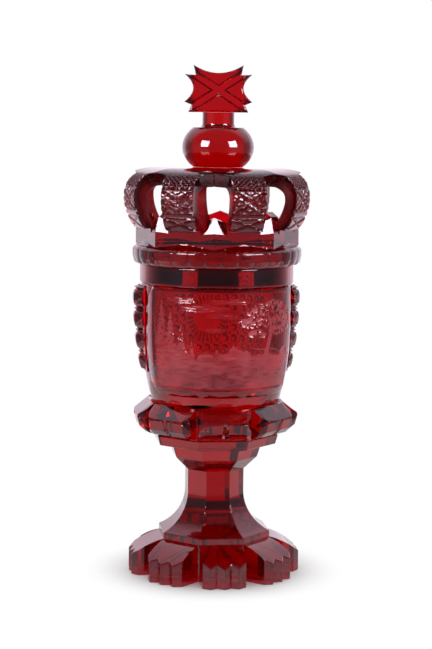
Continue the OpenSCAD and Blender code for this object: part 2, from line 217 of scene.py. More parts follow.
def eight_sided(
    profile: np.ndarray, fillet: float, turn: float = 0.0, steps: int = 4,
) -> np.ndarray:
    """Rings of an eight-sided body with rounded upright edges.

    A ring is the octagon of an apothem less the fillet, grown outwards by the
    fillet: at each corner the fillet's arc turns from one flat to the next.

    Args:
        profile: Rows of apothem and height.
        fillet: Radius of the upright edges.
        turn: Turn about the axis in radians.
        steps: Stretches in each rounding.

    Returns:
        The rings, as rows of the loft.
    """
    apothem = profile[:, :1, None]
    corner = STEP * np.arange(8)[None, :, None] + turn
    arc = corner + STEP * np.linspace(0.0, 1.0, steps + 1)[None, None, :]
    small = np.minimum(fillet, 0.4 * apothem)
    middle = (apothem - small) / math.cos(HALF_STEP)
    x = middle * np.sin(corner + HALF_STEP) + small * np.sin(arc)
    y = -middle * np.cos(corner + HALF_STEP) - small * np.cos(arc)
    z = np.broadcast_to(profile[:, 1][:, None, None], x.shape)
    return np.stack([x, y, z], axis=-1).reshape(len(profile), -1, 3)


def loft(
    rings: np.ndarray,
    cap: Cap = Cap.FAN,
    fused_ends: tuple[bool, bool] = (False, False),
    matte_or_shade: np.ndarray | None = None,
    fused: np.ndarray | None = None,
) -> Shell:
    """Surface through a stack of rings.

    Ring i and ring i + 1 are joined by one quad for each pair of neighbouring
    columns.  The rings turn so that column direction times row direction points
    outwards.

    Args:
        rings: Points as rows, columns and coordinates.
        cap: How the first and the last ring are closed.
        fused_ends: Whether the first and the last cap are melted to a neighbour.
        matte_or_shade: Marked share for each point (ground matte, or painted shade), or nothing
            for clear glass.
        fused: Where the quads are melted to a neighbour, by strip and column; one
            strip or column stands for all.

    Returns:
        The closed surface.
    """
    rows, cols = rings.shape[:2]
    number = np.arange(rows * cols).reshape(rows, cols)
    upper = np.roll(number, -1, axis=0) if cap is Cap.LOOP else number[1:]
    lower = number if cap is Cap.LOOP else number[:-1]
    quads = np.stack(
        [lower, np.roll(lower, -1, 1), np.roll(upper, -1, 1), upper], axis=-1,
    ).reshape(-1, 4)
    points = rings.reshape(-1, 3)
    ground = np.zeros(len(points)) if matte_or_shade is None else matte_or_shade.reshape(-1)
    tris = np.zeros((0, 3), dtype=int)
    melted = np.zeros((1, 1)) if fused is None else fused.astype(float)
    fused_quads = np.broadcast_to(melted, lower.shape).reshape(-1)
    fused_tris = np.zeros(0)
    end_marks = np.asarray(fused_ends, dtype=float)
    first, last = number[0], number[-1]
    if cap is Cap.FAN:
        low, top = len(points), len(points) + 1
        points = np.concatenate([points, rings[[0, -1]].mean(axis=1)])
        ground = np.concatenate([ground, [0.0, 0.0]])
        tris = np.concatenate([
            np.stack([np.full(cols, low), np.roll(first, -1), first], axis=-1),
            np.stack([np.full(cols, top), last, np.roll(last, -1)], axis=-1),
        ])
        fused_tris = np.repeat(end_marks, cols)
    if cap is Cap.STRIP:
        near = np.arange(cols // 2 - 1)
        far = cols - 1 - near
        ends = np.concatenate([
            np.stack([first[near + 1], first[near], first[far], first[far - 1]], axis=-1),
            np.stack([last[near], last[near + 1], last[far - 1], last[far]], axis=-1),
        ])
        quads = np.concatenate([quads, ends])
        fused_quads = np.concatenate([fused_quads, np.repeat(end_marks, len(near))])
    return Shell(points, quads, tris, np.concatenate([fused_quads, fused_tris]), ground)


def joined(shells: list[Shell]) -> Shell:
    """Several shells as one, with the corner numbers carried on.

    Args:
        shells: Shells to join.

    Returns:
        One shell of them all.
    """
    start = np.cumsum([0] + [len(s.points) for s in shells[:-1]])
    quad_marks = [s.fused[:len(s.quads)] for s in shells]
    tri_marks = [s.fused[len(s.quads):] for s in shells]
    return Shell(
        np.concatenate([s.points for s in shells]),
        np.concatenate([s.quads + k for s, k in zip(shells, start)]),
        np.concatenate([s.tris + k for s, k in zip(shells, start)]),
        np.concatenate(quad_marks + tri_marks),
        np.concatenate([s.matte_or_shade for s in shells]),
    )


def turned(shell: Shell, phi: float) -> Shell:
    """Shell turned about the Z axis.

    Args:
        shell: Shell to turn.
        phi: Angle, anticlockwise seen from above.

    Returns:
        The turned shell.
    """
    c, s = math.cos(phi), math.sin(phi)
    matrix = np.array([[c, -s, 0.0], [s, c, 0.0], [0.0, 0.0, 1.0]])
    return Shell(shell.points @ matrix.T, shell.quads, shell.tris, shell.fused, shell.matte_or_shade)


class Wiring:
    """Node tree with short ways to add nodes and to feed their inputs.

    A feed is a socket, which is linked, or a number or colour, which is set.
    """

    def __init__(self, tree: bpy.types.NodeTree) -> None:
        """Take up a tree."""
        self.tree = tree

    def feed(self, entry: bpy.types.NodeSocket, value: Feed) -> None:
        """Link a socket to an input, or set the input.

        Args:
            entry: Input to feed.
            value: Its feed.
        """
        if isinstance(value, bpy.types.NodeSocket):
            self.tree.links.new(value, entry)
        elif entry.type == "RGBA":
            entry.default_value = (*value, 1.0)
        else:
            entry.default_value = value

    def add(self, kind: str, feeds: dict[str | int, Feed] | None = None) -> bpy.types.Node:
        """New node.

        Args:
            kind: Kind of the node.
            feeds: Feeds by the inputs' names or numbers.

        Returns:
            The node.
        """
        node = self.tree.nodes.new(f"ShaderNode{kind}")
        for name, value in (feeds or {}).items():
            self.feed(node.inputs[name], value)
        return node

    def number(self, name: str) -> bpy.types.NodeSocket:
        """Number that the mesh keeps under a name.

        Args:
            name: Name of the mesh's attribute.

        Returns:
            The number.
        """
        node = self.add("Attribute")
        node.attribute_name = name
        return node.outputs["Fac"]

    def math(self, operation: str, first: Feed, second: Feed) -> bpy.types.NodeSocket:
        """Two numbers put together by an operation.

        Args:
            operation: Name of the operation.
            first: First number.
            second: Second number.

        Returns:
            The result.
        """
        node = self.add("Math", {0: first, 1: second})
        node.operation = operation
        return node.outputs[0]

    def towards(self, place: Feed, way: Triple) -> bpy.types.NodeSocket:
        """How far a place lies along a way: their dot product.

        Args:
            place: Place, as a vector.
            way: Way of length 1.

        Returns:
            The distance.
        """
        node = self.add("VectorMath", {0: place, 1: way})
        node.operation = "DOT_PRODUCT"
        return node.outputs["Value"]

    def mix(self, share: Feed, first: Feed, second: Feed) -> bpy.types.NodeSocket:
        """Number between two numbers, by a share."""
        return self.add("Mix", {"Factor": share, "A": first, "B": second}).outputs["Result"]

    def tint(self, share: Feed, first: Feed, second: Feed) -> bpy.types.NodeSocket:
        """Colour between two colours.

        Args:
            share: Share of the second colour.
            first: First colour.
            second: Second colour.

        Returns:
            The mixed colour.
        """
        node = self.add("Mix", {"Factor": share})
        node.data_type = "RGBA"
        entries = [entry for entry in node.inputs if entry.type == "RGBA"]
        for entry, value in zip(entries, (first, second)):
            self.feed(entry, value)
        return next(socket for socket in node.outputs if socket.type == "RGBA")

    def blend(self, share: Feed, first: Feed, second: Feed) -> bpy.types.NodeSocket:
        """Shader between two shaders, by a share."""
        return self.add("MixShader", {0: share, 1: first, 2: second}).outputs[0]

    def ramp(
        self, value: Feed, span: Pair, levels: Pair, eased: bool = True,
    ) -> bpy.types.NodeSocket:
        """Number that runs from one level to another.

        Args:
            value: Number to map.
            span: Values at which the first and the second level hold.
            levels: The two levels.
            eased: Whether it runs smoothly at both ends.

        Returns:
            The mapped number.
        """
        node = self.add("MapRange", {
            "Value": value, "From Min": span[0], "From Max": span[1],
            "To Min": levels[0], "To Max": levels[1],
        })
        node.interpolation_type = "SMOOTHSTEP" if eased else "LINEAR"
        return node.outputs["Result"]


@dataclass(frozen=True)
class RubyGlass:
    """Polished ruby glass, coloured through its mass.

    Attributes:
        name: Name of the material.
        tint: Colour of the surface, as seen by light that goes through.
        upper: Darker colour above a height, where there is one: painted shade
        on the bowl's neck and on the cross.
        upper_z: That height, in m.
        density: Strength of the absorption in the mass.
        mass: Colour of the mass.
        gleam: Tint of reflections.
        polish: Roughness of the polished surface.
        wave: Strength of the polish's slight waves.
        shine: Strength of the polished surface's reflections.
        passing: Colour for light that passes the piece on its way to a lamp.
        bend: Index of refraction.
        slow: Scale and detail of the polish's waves.
        haze: Span of the waves over which the polish gets hazier.
        relief: Height of the waves, in m.
    """

    name: str
    tint: Colour = (0.42, 0.005, 0.022)
    upper: Colour | None = None
    upper_z: float = 0.0
    density: float = 200.0
    mass: Colour = (0.945, 0.0, 0.06)
    gleam: Colour = (1.0, 0.88, 1.0)
    polish: float = 0.012
    wave: float = 0.05
    shine: float = 0.5
    passing: Colour = (0.42, 0.33, 0.34)
    bend: float = 1.52
    slow: Pair = (70.0, 2.0)
    haze: Pair = (0.35, 0.75)
    relief: float = 0.0006

    def material(self) -> bpy.types.Material:
        """Node tree of the glass.

        Faces melted to a neighbour, and light on its way to a lamp, pass as if
        there were no surface, so that the mass alone colours them.

        Returns:
            The material.
        """
        mat = bpy.data.materials.new(self.name)
        mat.use_nodes = True
        mat.node_tree.nodes.clear()
        wire = Wiring(mat.node_tree)
        place = wire.add("TexCoord").outputs["Object"]
        glass = wire.add("BsdfPrincipled", {
            "IOR": self.bend, "Specular Tint": self.gleam, **self._surface(wire, place),
        })
        path = wire.add("LightPath")
        unseen = wire.math(
            "MAXIMUM", path.outputs["Is Shadow Ray"], path.outputs["Is Diffuse Ray"],
        )
        to_lamp = wire.add("BsdfTransparent", {"Color": self.passing}).outputs[0]
        melted = wire.add("BsdfTransparent").outputs[0]
        skin = wire.blend(unseen, glass.outputs[0], to_lamp)
        body = wire.add("VolumeAbsorption", {"Color": self.mass, "Density": self.density})
        wire.add("OutputMaterial", {
            "Surface": wire.blend(wire.number("fused"), skin, melted), "Volume": body.outputs[0],
        })
        return mat

    def _surface(self, wire: Wiring, place: Feed) -> dict[str, Feed]:
        """Feeds of the polished surface, with slow waves of hand polishing.

        Args:
            wire: Wiring of the material.
            place: Object coordinates.

        Returns:
            Feeds of the shader, by the names of its inputs.
        """
        slow = self._noise(wire, place, self.slow)
        return {
            "Base Color": self._by_height(wire, place),
            "Transmission Weight": 1.0,
            "Specular IOR Level": self.shine,
            "Roughness": self._hazy(wire, slow),
            "Normal": self._relief(wire, slow),
        }

    @staticmethod
    def _noise(wire: Wiring, place: Feed, grain: Pair) -> Feed:
        """Random field.

        Args:
            wire: Wiring of the material.
            place: Object coordinates.
            grain: Scale and detail of the field.

        Returns:
            The field.
        """
        scale, detail = grain
        noise = wire.add("TexNoise", {"Vector": place, "Scale": scale, "Detail": detail})
        return noise.outputs["Fac"]

    def _hazy(self, wire: Wiring, slow: Feed) -> Feed:
        """Roughness of the polish, which grows threefold with the waves."""
        return wire.ramp(slow, self.haze, (self.polish, self.polish * 3.0), False)

    def _relief(self, wire: Wiring, height: Feed) -> Feed:
        """Normal of the surface with a height field on it.

        Args:
            wire: Wiring of the material.
            height: The height field.

        Returns:
            The normal.
        """
        bump = wire.add("Bump", {
            "Strength": self.wave, "Distance": self.relief, "Height": height,
        })
        return bump.outputs["Normal"]

    def _by_height(self, wire: Wiring, place: Feed) -> Feed:
        """Tint of the polished surface, with the darker upper tint above its height if
        there is one: painted shade.

        Args:
            wire: Wiring of the material.
            place: Object coordinates.

        Returns:
            The tint, or the socket that gives it.
        """
        if self.upper is None:
            return self.tint
        height = wire.add("SeparateXYZ", {0: place}).outputs["Z"]
        above = wire.math("GREATER_THAN", height, self.upper_z)
        return wire.tint(above, self.tint, self.upper)


@dataclass(frozen=True)
class GroundGlass(RubyGlass):
    """Ruby glass with marked places, ground matte or painted shade; the mesh keeps the marked
    share.

    Attributes:
        matte_or_shade_tint: Colour of the marked surface, ground matte or painted shade.
        matte_or_shade_rough: Roughness of the marked surface.
        matte_or_shade_clear: Share of light that goes through the marked surface.
        matte_or_shade_shine: Strength of the marked surface's reflections.
        fine: Scale and detail of the marked surface's grain.
    """

    matte_or_shade_tint: Colour = (0.64, 0.075, 0.10)
    matte_or_shade_rough: float = 0.48
    matte_or_shade_clear: float = 0.62
    matte_or_shade_shine: float = 0.15
    fine: Pair = (2600.0, 3.0)

    def _surface(self, wire: Wiring, place: Feed) -> dict[str, Feed]:
        """Feeds of the polished surface, mixed by the marked share with the ground or
        painted-shade one's.

        Args:
            wire: Wiring of the material.
            place: Object coordinates.

        Returns:
            Feeds of the shader, by the names of its inputs.
        """
        matte_or_shade = wire.number("matte_or_shade")
        slow = self._noise(wire, place, self.slow)
        fine = self._noise(wire, place, self.fine)
        return {
            "Base Color": wire.tint(matte_or_shade, self._by_height(wire, place), self.matte_or_shade_tint),
            "Transmission Weight": self._marked(wire, matte_or_shade, 1.0, self.matte_or_shade_clear),
            "Specular IOR Level": self._marked(wire, matte_or_shade, self.shine, self.matte_or_shade_shine),
            "Roughness": wire.mix(matte_or_shade, self._hazy(wire, slow), self.matte_or_shade_rough),
            "Normal": self._relief(wire, wire.mix(matte_or_shade, slow, fine)),
        }

    @staticmethod
    def _marked(wire: Wiring, matte_or_shade: Feed, plain: float, ground: float) -> Feed:
        """Number that runs with the marked share, or the number itself where both are the same."""
        return plain if plain == ground else wire.ramp(matte_or_shade, (0.0, 1.0), (plain, ground), False)


@dataclass(frozen=True)
class EdgedGlass(GroundGlass):
    """Ruby glass whose marked places are polished too, with a near-black tint that paints shade.
    """

    matte_or_shade_tint: Colour = (0.012, 0.001, 0.004)
    matte_or_shade_rough: float = 0.06
    matte_or_shade_clear: float = 1.0
    matte_or_shade_shine: float = 0.5


WALL_TINT: Colour = (0.55, 0.008, 0.026)
GLASS: dict[Finish, tuple[Slot, RubyGlass]] = {
    Finish.POLISHED: (Slot.CLEAR, RubyGlass("ruby_glass_polished")),
    # Painted shade: the darker second tint colours the bowl's neck above 191.2 mm.
    Finish.WALL: (Slot.CLEAR, RubyGlass(
        "ruby_glass_wall", WALL_TINT, (0.26, 0.004, 0.018), 0.1912, wave=0.012,
    )),
    # Painted shade: near-black marks on the rays and on one side of the lens cuts' edges.
    Finish.LENS: (Slot.CUT, EdgedGlass("ruby_glass_lens", WALL_TINT)),
    # Painted shade: the dark marked tint darkens the arches' inner faces; the pads carry no marks.
    Finish.STRAP: (Slot.CUT, GroundGlass(
        "ruby_glass_strap", (0.40, 0.004, 0.014), mass=(0.84, 0.0, 0.05), wave=0.03,
        matte_or_shade_tint=(0.09, 0.006, 0.012), matte_or_shade_clear=0.95,
    )),
    Finish.FLANGE: (Slot.CLEAR, RubyGlass(
        "ruby_glass_flange", (0.24, 0.003, 0.014), wave=0.012,
    )),
    # Painted shade: the cross is tinted darker than its neck, and near-black marks darken its cut
    # walls, the strip beside the upper cuts and the arm tips.
    Finish.CROSS: (Slot.CLEAR, EdgedGlass(
        "ruby_glass_cross", upper=(0.34, 0.004, 0.018), upper_z=0.2999,
        matte_or_shade_tint=(0.035, 0.002, 0.012),
    )),
    Finish.ENGRAVED: (Slot.ENGRAVED, GroundGlass("ruby_glass_engraved", WALL_TINT, wave=0.08)),
}


class Workshop:
    """Makes objects from shells and enters them in the frame."""

    def __init__(self) -> None:
        """Prepare one material for each finish."""
        self.glass = {finish: (slot, kind.material()) for finish, (slot, kind) in GLASS.items()}

    def piece(
        self, node: str, shell: Shell, body: Body, finish: Finish = Finish.POLISHED,
    ) -> bpy.types.Object:
        """Object of a shell, in place of a CAD node.

        Args:
            node: Node that the piece stands for; its name is the node's with an ending.
            shell: Surface of the piece, in mm.
            body: Body that it rides on.
            finish: Finish of its glass.

        Returns:
            The object.
        """
        name = f"{node}_glass"
        mesh = self._mesh(name, shell)
        slot, glass = self.glass[finish]
        mesh.materials.append(glass)
        obj = bpy.data.objects.new(name, mesh)
        bpy.context.scene.collection.objects.link(obj)
        flats = obj.modifiers.new("flat_faces", "WEIGHTED_NORMAL")
        flats.mode = "FACE_AREA"
        flats.keep_sharp = True
        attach(obj, body.value)
        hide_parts(node)
        LOG.info("%s: %d faces", name, len(mesh.polygons))
        return obj

    @staticmethod
    def _mesh(name: str, shell: Shell) -> bpy.types.Mesh:
        """Mesh of a shell, in metres, with doubles merged and its numbers kept.

        Args:
            name: Name of the mesh.
            shell: Surface to write.

        Returns:
            The mesh.
        """
        mesh = bpy.data.meshes.new(name)
        loops = np.concatenate([shell.quads.ravel(), shell.tris.ravel()])
        sizes = np.concatenate([np.full(len(shell.quads), 4), np.full(len(shell.tris), 3)])
        starts = np.concatenate([[0], np.cumsum(sizes)[:-1]])
        mesh.vertices.add(len(shell.points))
        mesh.vertices.foreach_set("co", (shell.points * MM).astype(np.float32).ravel())
        mesh.loops.add(len(loops))
        mesh.loops.foreach_set("vertex_index", loops.astype(np.int32))
        mesh.polygons.add(len(sizes))
        mesh.polygons.foreach_set("loop_start", starts.astype(np.int32))
        mesh.update(calc_edges=True)
        fused = mesh.attributes.new("fused", "FLOAT", "FACE")
        fused.data.foreach_set("value", shell.fused.astype(np.float32))
        # Marked share for each corner: ground matte on the engraving, painted shade on the cross,
        # the lens cuts and the arches' inner faces.
        matte_or_shade = mesh.attributes.new("matte_or_shade", "FLOAT", "POINT")
        matte_or_shade.data.foreach_set("value", shell.matte_or_shade.astype(np.float32))
        work = bmesh.new()
        work.from_mesh(mesh)
        bmesh.ops.remove_doubles(work, verts=work.verts, dist=MERGE)
        bmesh.ops.dissolve_degenerate(work, edges=work.edges, dist=MERGE)
        work.to_mesh(mesh)
        work.free()
        mesh.validate()
        mesh.polygons.foreach_set("use_smooth", np.ones(len(mesh.polygons), dtype=bool))
        mesh.set_sharp_from_angle(angle=SHARP)
        return mesh


@dataclass(frozen=True)
class LobeOutline:
    """Outline of eight square-ended lobes with V cuts in their ends.

    Attributes:
        core: Distance of the lobes' roots from the axis.
        reach: Distance of their ends.
        half: Half of a lobe's width.
        teeth: Teeth on an end.
        cut: Half of the width, and depth, of the cuts between the teeth.
        corner: Width and depth of the cuts at the lobe's corners.
        bow: Way by which an end's corners lie back from its middle.
        side_steps: Stretches along a lobe's side.
        tooth_steps: Stretches along a tooth.
    """

    core: float
    reach: float
    half: float
    teeth: int
    cut: Pair
    corner: Pair
    bow: float = 0.0
    side_steps: int = 8
    tooth_steps: int = 25

    def local(self) -> tuple[np.ndarray, np.ndarray, np.ndarray]:
        """One lobe's outline: up its left side, across its end, down its right side.

        The end lies at the reach, less the bow; the V cuts at every tooth's edge
        are given apart.

        Returns:
            Places across the lobe, distances from the axis, and depths of the cuts.
        """
        side = np.linspace(0.0, 1.0, self.side_steps + 1)[:-1]
        x = np.linspace(-self.half, self.half, self.teeth * self.tooth_steps + 1)
        pitch = 2.0 * self.half / self.teeth
        off = (x + self.half) - pitch * np.round((x + self.half) / pitch)
        to_corner = self.half - np.abs(x)
        end = self.reach - self.bow * (x / self.half) ** 2 - groove(to_corner, *self.corner)
        notch = groove(off, *self.cut) * (to_corner > pitch / 2)
        left = self.core + (end[0] - self.core) * side
        left_notch = notch[0] * side
        edge = np.full(self.side_steps, self.half)
        places = np.concatenate([-edge, x, edge])
        cuts = np.concatenate([left_notch, notch, left_notch[::-1]])
        return places, np.concatenate([left, end, left[::-1]]), cuts

    def ring(self, x: np.ndarray, d: np.ndarray, z: np.ndarray | float) -> np.ndarray:
        """Eight copies of a lobe's line, as one ring.

        Args:
            x: Places across the lobe.
            d: Distances from the axis.
            z: Heights.

        Returns:
            The ring's points.
        """
        phi = STEP * np.arange(8)[:, None]
        z = np.broadcast_to(z, x.shape)
        xs = x * np.cos(phi) + d * np.sin(phi)
        ys = x * np.sin(phi) - d * np.cos(phi)
        return np.stack([xs, ys, np.broadcast_to(z, xs.shape)], axis=-1).reshape(-1, 3)

    def seat(self, x: np.ndarray, plain: np.ndarray, to: float, z: float) -> np.ndarray:
        """Ring of an eight-sided seat, with the outline drawn in along its rays.

        Args:
            x: Places across the lobe.
            plain: Distances of the outline without its cuts.
            to: Distance of the seat's flats.
            z: Height.

        Returns:
            The ring's points.
        """
        return self.ring(x * to / plain, np.full_like(plain, to), z)

    def at_reach(self, d: np.ndarray, reach: float) -> np.ndarray:
        """The outline's distances drawn in so that the ends lie at another reach."""
        return self.core + (d - self.core) * (reach - self.core) / (self.reach - self.core)


@dataclass
class Stand:
    """Foot, stem, shoulder and collar plate under the bowl."""

    foot_reach: float = 56.0
    foot_h: float = 24.0
    foot_edge_h: float = 13.0
    foot_lobe_gap: float = 0.8
    foot_teeth: int = 3
    foot_cut: Pair = (4.5, 3.0)
    foot_bow: float = 1.6
    foot_hem: float = 0.5
    foot_fall: Pair = (0.45, 0.55)
    foot_rim: tuple[Pair, ...] = ((0.9, 0.0), (0.35, 0.15), (0.0, 0.7))
    foot_smooth: tuple[float, int] = (0.84, 12)
    plinth: float = 34.8
    plinth_z: Pair = (24.1, 28.1)
    shaft: float = 18.3
    shaft_z: Pair = (54.1, 68.4)
    shoulder: Pair = (26.5, 29.1)
    shoulder_z: Triple = (68.5, 77.0, 85.8)
    plate: Pair = (37.6, 39.2)
    plate_z: Pair = (85.9, 91.9)
    calyx_seat: float = 38.8
    upright: float = 0.5
    level: float = 0.6

    def build(self, shop: Workshop) -> None:
        """Make the four pieces.

        Args:
            shop: Workshop that makes the objects.
        """
        shop.piece("foot", self.foot(), Body.GOBLET)
        shop.piece("stem", self.stem(), Body.GOBLET)
        shop.piece("shoulder", self.shoulder_block(), Body.GOBLET)
        shop.piece("collar_plate", self.collar_plate(), Body.GOBLET)

    def foot_top(self, d: np.ndarray) -> np.ndarray:
        """Height of a lobe's rounded top: it falls by 0.45 u + 0.55 u^2 from root to end.

        Args:
            d: Distances from the axis.

        Returns:
            The heights.
        """
        u = np.clip((d - self.plinth) / (self.foot_reach - self.plinth), 0.0, 1.0)
        straight, curved = self.foot_fall
        return self.foot_h - (self.foot_h - self.foot_edge_h) * (straight * u + curved * u * u)

    def foot(self) -> Shell:
        """Lobed foot: the outline rises upright and then runs in over the rounded top.

        Returns:
            The foot, with a smooth top behind its pleated ends.
        """
        half = self.plinth * math.tan(HALF_STEP) - self.foot_lobe_gap / 2
        lobes = LobeOutline(
            self.plinth, self.foot_reach, half, self.foot_teeth, self.foot_cut, self.foot_cut,
            self.foot_bow,
        )
        x, plain, notch = lobes.local()
        d = plain - notch
        hem = lobes.at_reach(d, self.foot_reach - self.foot_hem)
        rings = [lobes.ring(x, hem, 0.0), lobes.ring(x, d, self.foot_hem)]
        for drop, back in self.foot_rim:
            inner = lobes.at_reach(d, self.foot_reach - back)
            rings.append(lobes.ring(x, inner, self.foot_top(inner) - drop))
        start, steps = self.foot_smooth
        for share in np.linspace(start, 0.0, steps):
            inner = lobes.core + (plain - lobes.core) * share
            rings.append(lobes.ring(x, inner, self.foot_top(inner)))
        return loft(np.stack(rings), fused_ends=(False, True))

    def stem(self) -> Shell:
        """Plinth, cove on a circle that ends upright at the shaft, and shaft.

        Returns:
            The stem.
        """
        fall = self.plinth - self.shaft
        rise = self.shaft_z[0] - self.plinth_z[1]
        radius = (fall ** 2 + rise ** 2) / (2 * fall)
        z = np.linspace(self.plinth_z[1], self.shaft_z[0], 25)
        out = self.shaft + radius - np.sqrt(radius ** 2 - (self.shaft_z[0] - z) ** 2)
        low = np.array([[self.plinth, self.plinth_z[0]]])
        top = np.array([[self.shaft, self.shaft_z[1]]])
        line = ease(np.concatenate([low, np.stack([out, z], axis=-1), top]), self.upright)
        return self.block(np.concatenate([low, line[1:]]))

    def shoulder_block(self) -> Shell:
        """Eight-sided swelling: sloping underside, then nearly upright sides.

        Returns:
            The shoulder.
        """
        low, middle, top = self.shoulder_z
        return self.block(ease(np.array([
            [self.shaft, low], [self.shoulder[0], middle], [self.shoulder[1], top],
        ]), self.level))

    def collar_plate(self) -> Shell:
        """Eight-sided plate that grows a little wider towards its top.

        Returns:
            The plate.
        """
        low, top = self.plate_z
        return self.block(ease(np.array([
            [self.shoulder[1], low], [self.plate[0], low], [self.plate[1], top],
            [self.calyx_seat, top],
        ]), self.level))

    def block(self, profile: np.ndarray) -> Shell:
        """Eight-sided body of a profile, melted to its neighbours at both ends."""
        return loft(eight_sided(profile, self.upright), fused_ends=(True, True))


@dataclass
class Bowl:
    """Calyx, bowl and the raised fields on the bowl."""

    calyx_z: Pair = (92.0, 112.0)
    calyx_seat: float = 38.8
    calyx_reach: float = 53.2
    calyx_edge: Pair = (98.8, 105.6)
    calyx_teeth: int = 2
    calyx_cut: Pair = (2.0, 4.2)
    calyx_corner: Pair = (3.2, 4.2)
    calyx_bow: float = 1.0
    calyx_ease: float = 0.35
    base: float = 41.6
    base_seat: float = 38.6
    lobe_gap: float = 1.2
    tooth_h: float = 7.0
    floor_z: float = 112.1
    hollow_z: float = 123.1
    widest_z: float = 164.1
    neck_z: float = 191.1
    neck_slope: float = 0.9
    rim_z: float = 202.9
    radius: float = 48.6
    taper: float = 7.2
    neck: float = 50.0
    mouth: float = 42.0
    mouth_draw: float = 1.5
    mouth_h: float = 4.0
    rim_ease: tuple[float, int] = (0.9, 6)
    hollow_power: float = 0.6
    base_rows: tuple[float, ...] = (
        0.0, 0.02, 0.6, 1.2, 1.8, 2.2, 2.4, 2.6, 3.2, 4.5, 5.5, 6.2, 6.7, 7.2, 8.4, 11.0,
    )
    inner: float = 40.6
    flat_h: float = 6.5
    bevel: float = 2.4
    medal_half: float = math.radians(73.0)
    medal_z: Pair = (120.6, 190.1)
    medal_t: float = 1.6
    medal_corner: float = 8.0
    medal_rim: Triple = (4.5, 0.8, 9.0)
    medal_corner_rim: float = 2.5
    medal_edge: float = 0.2
    medal_fade: Pair = (1.0, 1.6)
    medal_least: float = 0.3
    pad_half: float = math.radians(12.5)
    pad_z: Pair = (133.1, 189.1)
    pad_t: float = 6.0
    pad_low_t: float = 3.2
    pad_grown: float = 0.7
    pad_cut: float = 2.5
    pad_rows: int = 4
    pad_places: tuple[float, ...] = (
        0.0, 0.05, 0.14, 0.30, 0.44, 0.58, 0.74, 0.82, 0.88, 0.94, 1.0,
    )
    pad_depths: tuple[float, ...] = (
        0.75, 0.45, 0.18, 0.03, 0.0, 0.03, 0.35, 1.0, 0.42, 1.0, 0.75,
    )
    pad_mid: float = 0.43
    pad_slant: Pair = (1.5, 0.9)
    pad_slant_end: Pair = (1.0, 0.75)
    pad_side: Pair = (3.8, 0.35)
    pad_end: Triple = (2.2, 1.6, 1.4)
    pad_least: float = 0.8
    film: float = 0.1
    seam: float = 0.8

    def build(self, shop: Workshop) -> None:
        """Make the calyx, the bowl and its four fields.

        Args:
            shop: Workshop that makes the objects.
        """
        pad = self.pad()
        lens_field = turned(self.medallion(LensCut()), math.pi)
        glade = self.medallion(WoodlandCut())
        shop.piece("calyx", self.calyx(), Body.GOBLET)
        shop.piece("bowl", self.bowl(), Body.GOBLET, Finish.WALL)
        shop.piece("front_medallion", glade, Body.GOBLET, Finish.ENGRAVED)
        shop.piece("back_medallion", lens_field, Body.GOBLET, Finish.LENS)
        shop.piece("left_pad", turned(pad, -math.pi / 2), Body.GOBLET, Finish.STRAP)
        shop.piece("right_pad", turned(pad, math.pi / 2), Body.GOBLET, Finish.STRAP)

    def outside(self, z: np.ndarray) -> np.ndarray:
        """Radius of the bowl's outside: it narrows with the square of the way down."""
        down = np.clip(self.widest_z - z, 0.0, None) / (self.widest_z - self.floor_z)
        return self.radius - self.taper * down ** 2

    def calyx(self) -> Shell:
        """Collar of toothed lobes: sloping underside, upright ends, sloping top, bowl's seat.

        The teeth fade out along a circle's arc towards the ends' upper edges, and
        the heights run level towards the lobes' roots.

        Returns:
            The collar.
        """
        half = self.base * math.tan(HALF_STEP) - self.lobe_gap / 2
        reach = self.calyx_reach
        lobes = LobeOutline(
            self.base, reach, half, self.calyx_teeth, self.calyx_cut, self.calyx_corner,
            self.calyx_bow,
        )
        x, plain, notch = lobes.local()
        low, top = self.calyx_z
        edge_low, edge_top = self.calyx_edge
        under, over = edge_low - 4.9, top + 1.6
        line = ease(np.array([
            [reach - 10.4, under], [reach - 5.9, edge_low - 3.6], [reach - 1.9, edge_low],
            [reach - 1.3, edge_low + 2.0], [reach - 0.7, edge_low + 4.0], [reach, edge_top - 0.5],
            [reach - 0.6, edge_top + 0.4], [self.base + 1.4, over],
        ]), self.calyx_ease)
        rings = [lobes.seat(x, plain, self.calyx_seat, low)]
        for end, z in line:
            fade = math.sqrt(max(0.0, 1.0 - max(0.0, (z - edge_low) / self.tooth_h) ** 2))
            d = plain - notch * fade
            share = np.clip((d - lobes.core) / (reach - lobes.core), 0.0, 1.0)
            flat = over if z > edge_top else under
            rings.append(lobes.ring(x, lobes.at_reach(d, end), flat + (z - flat) * share))
        rings.append(lobes.seat(x, plain, self.base_seat, top))
        return loft(np.stack(rings), fused_ends=(True, True))

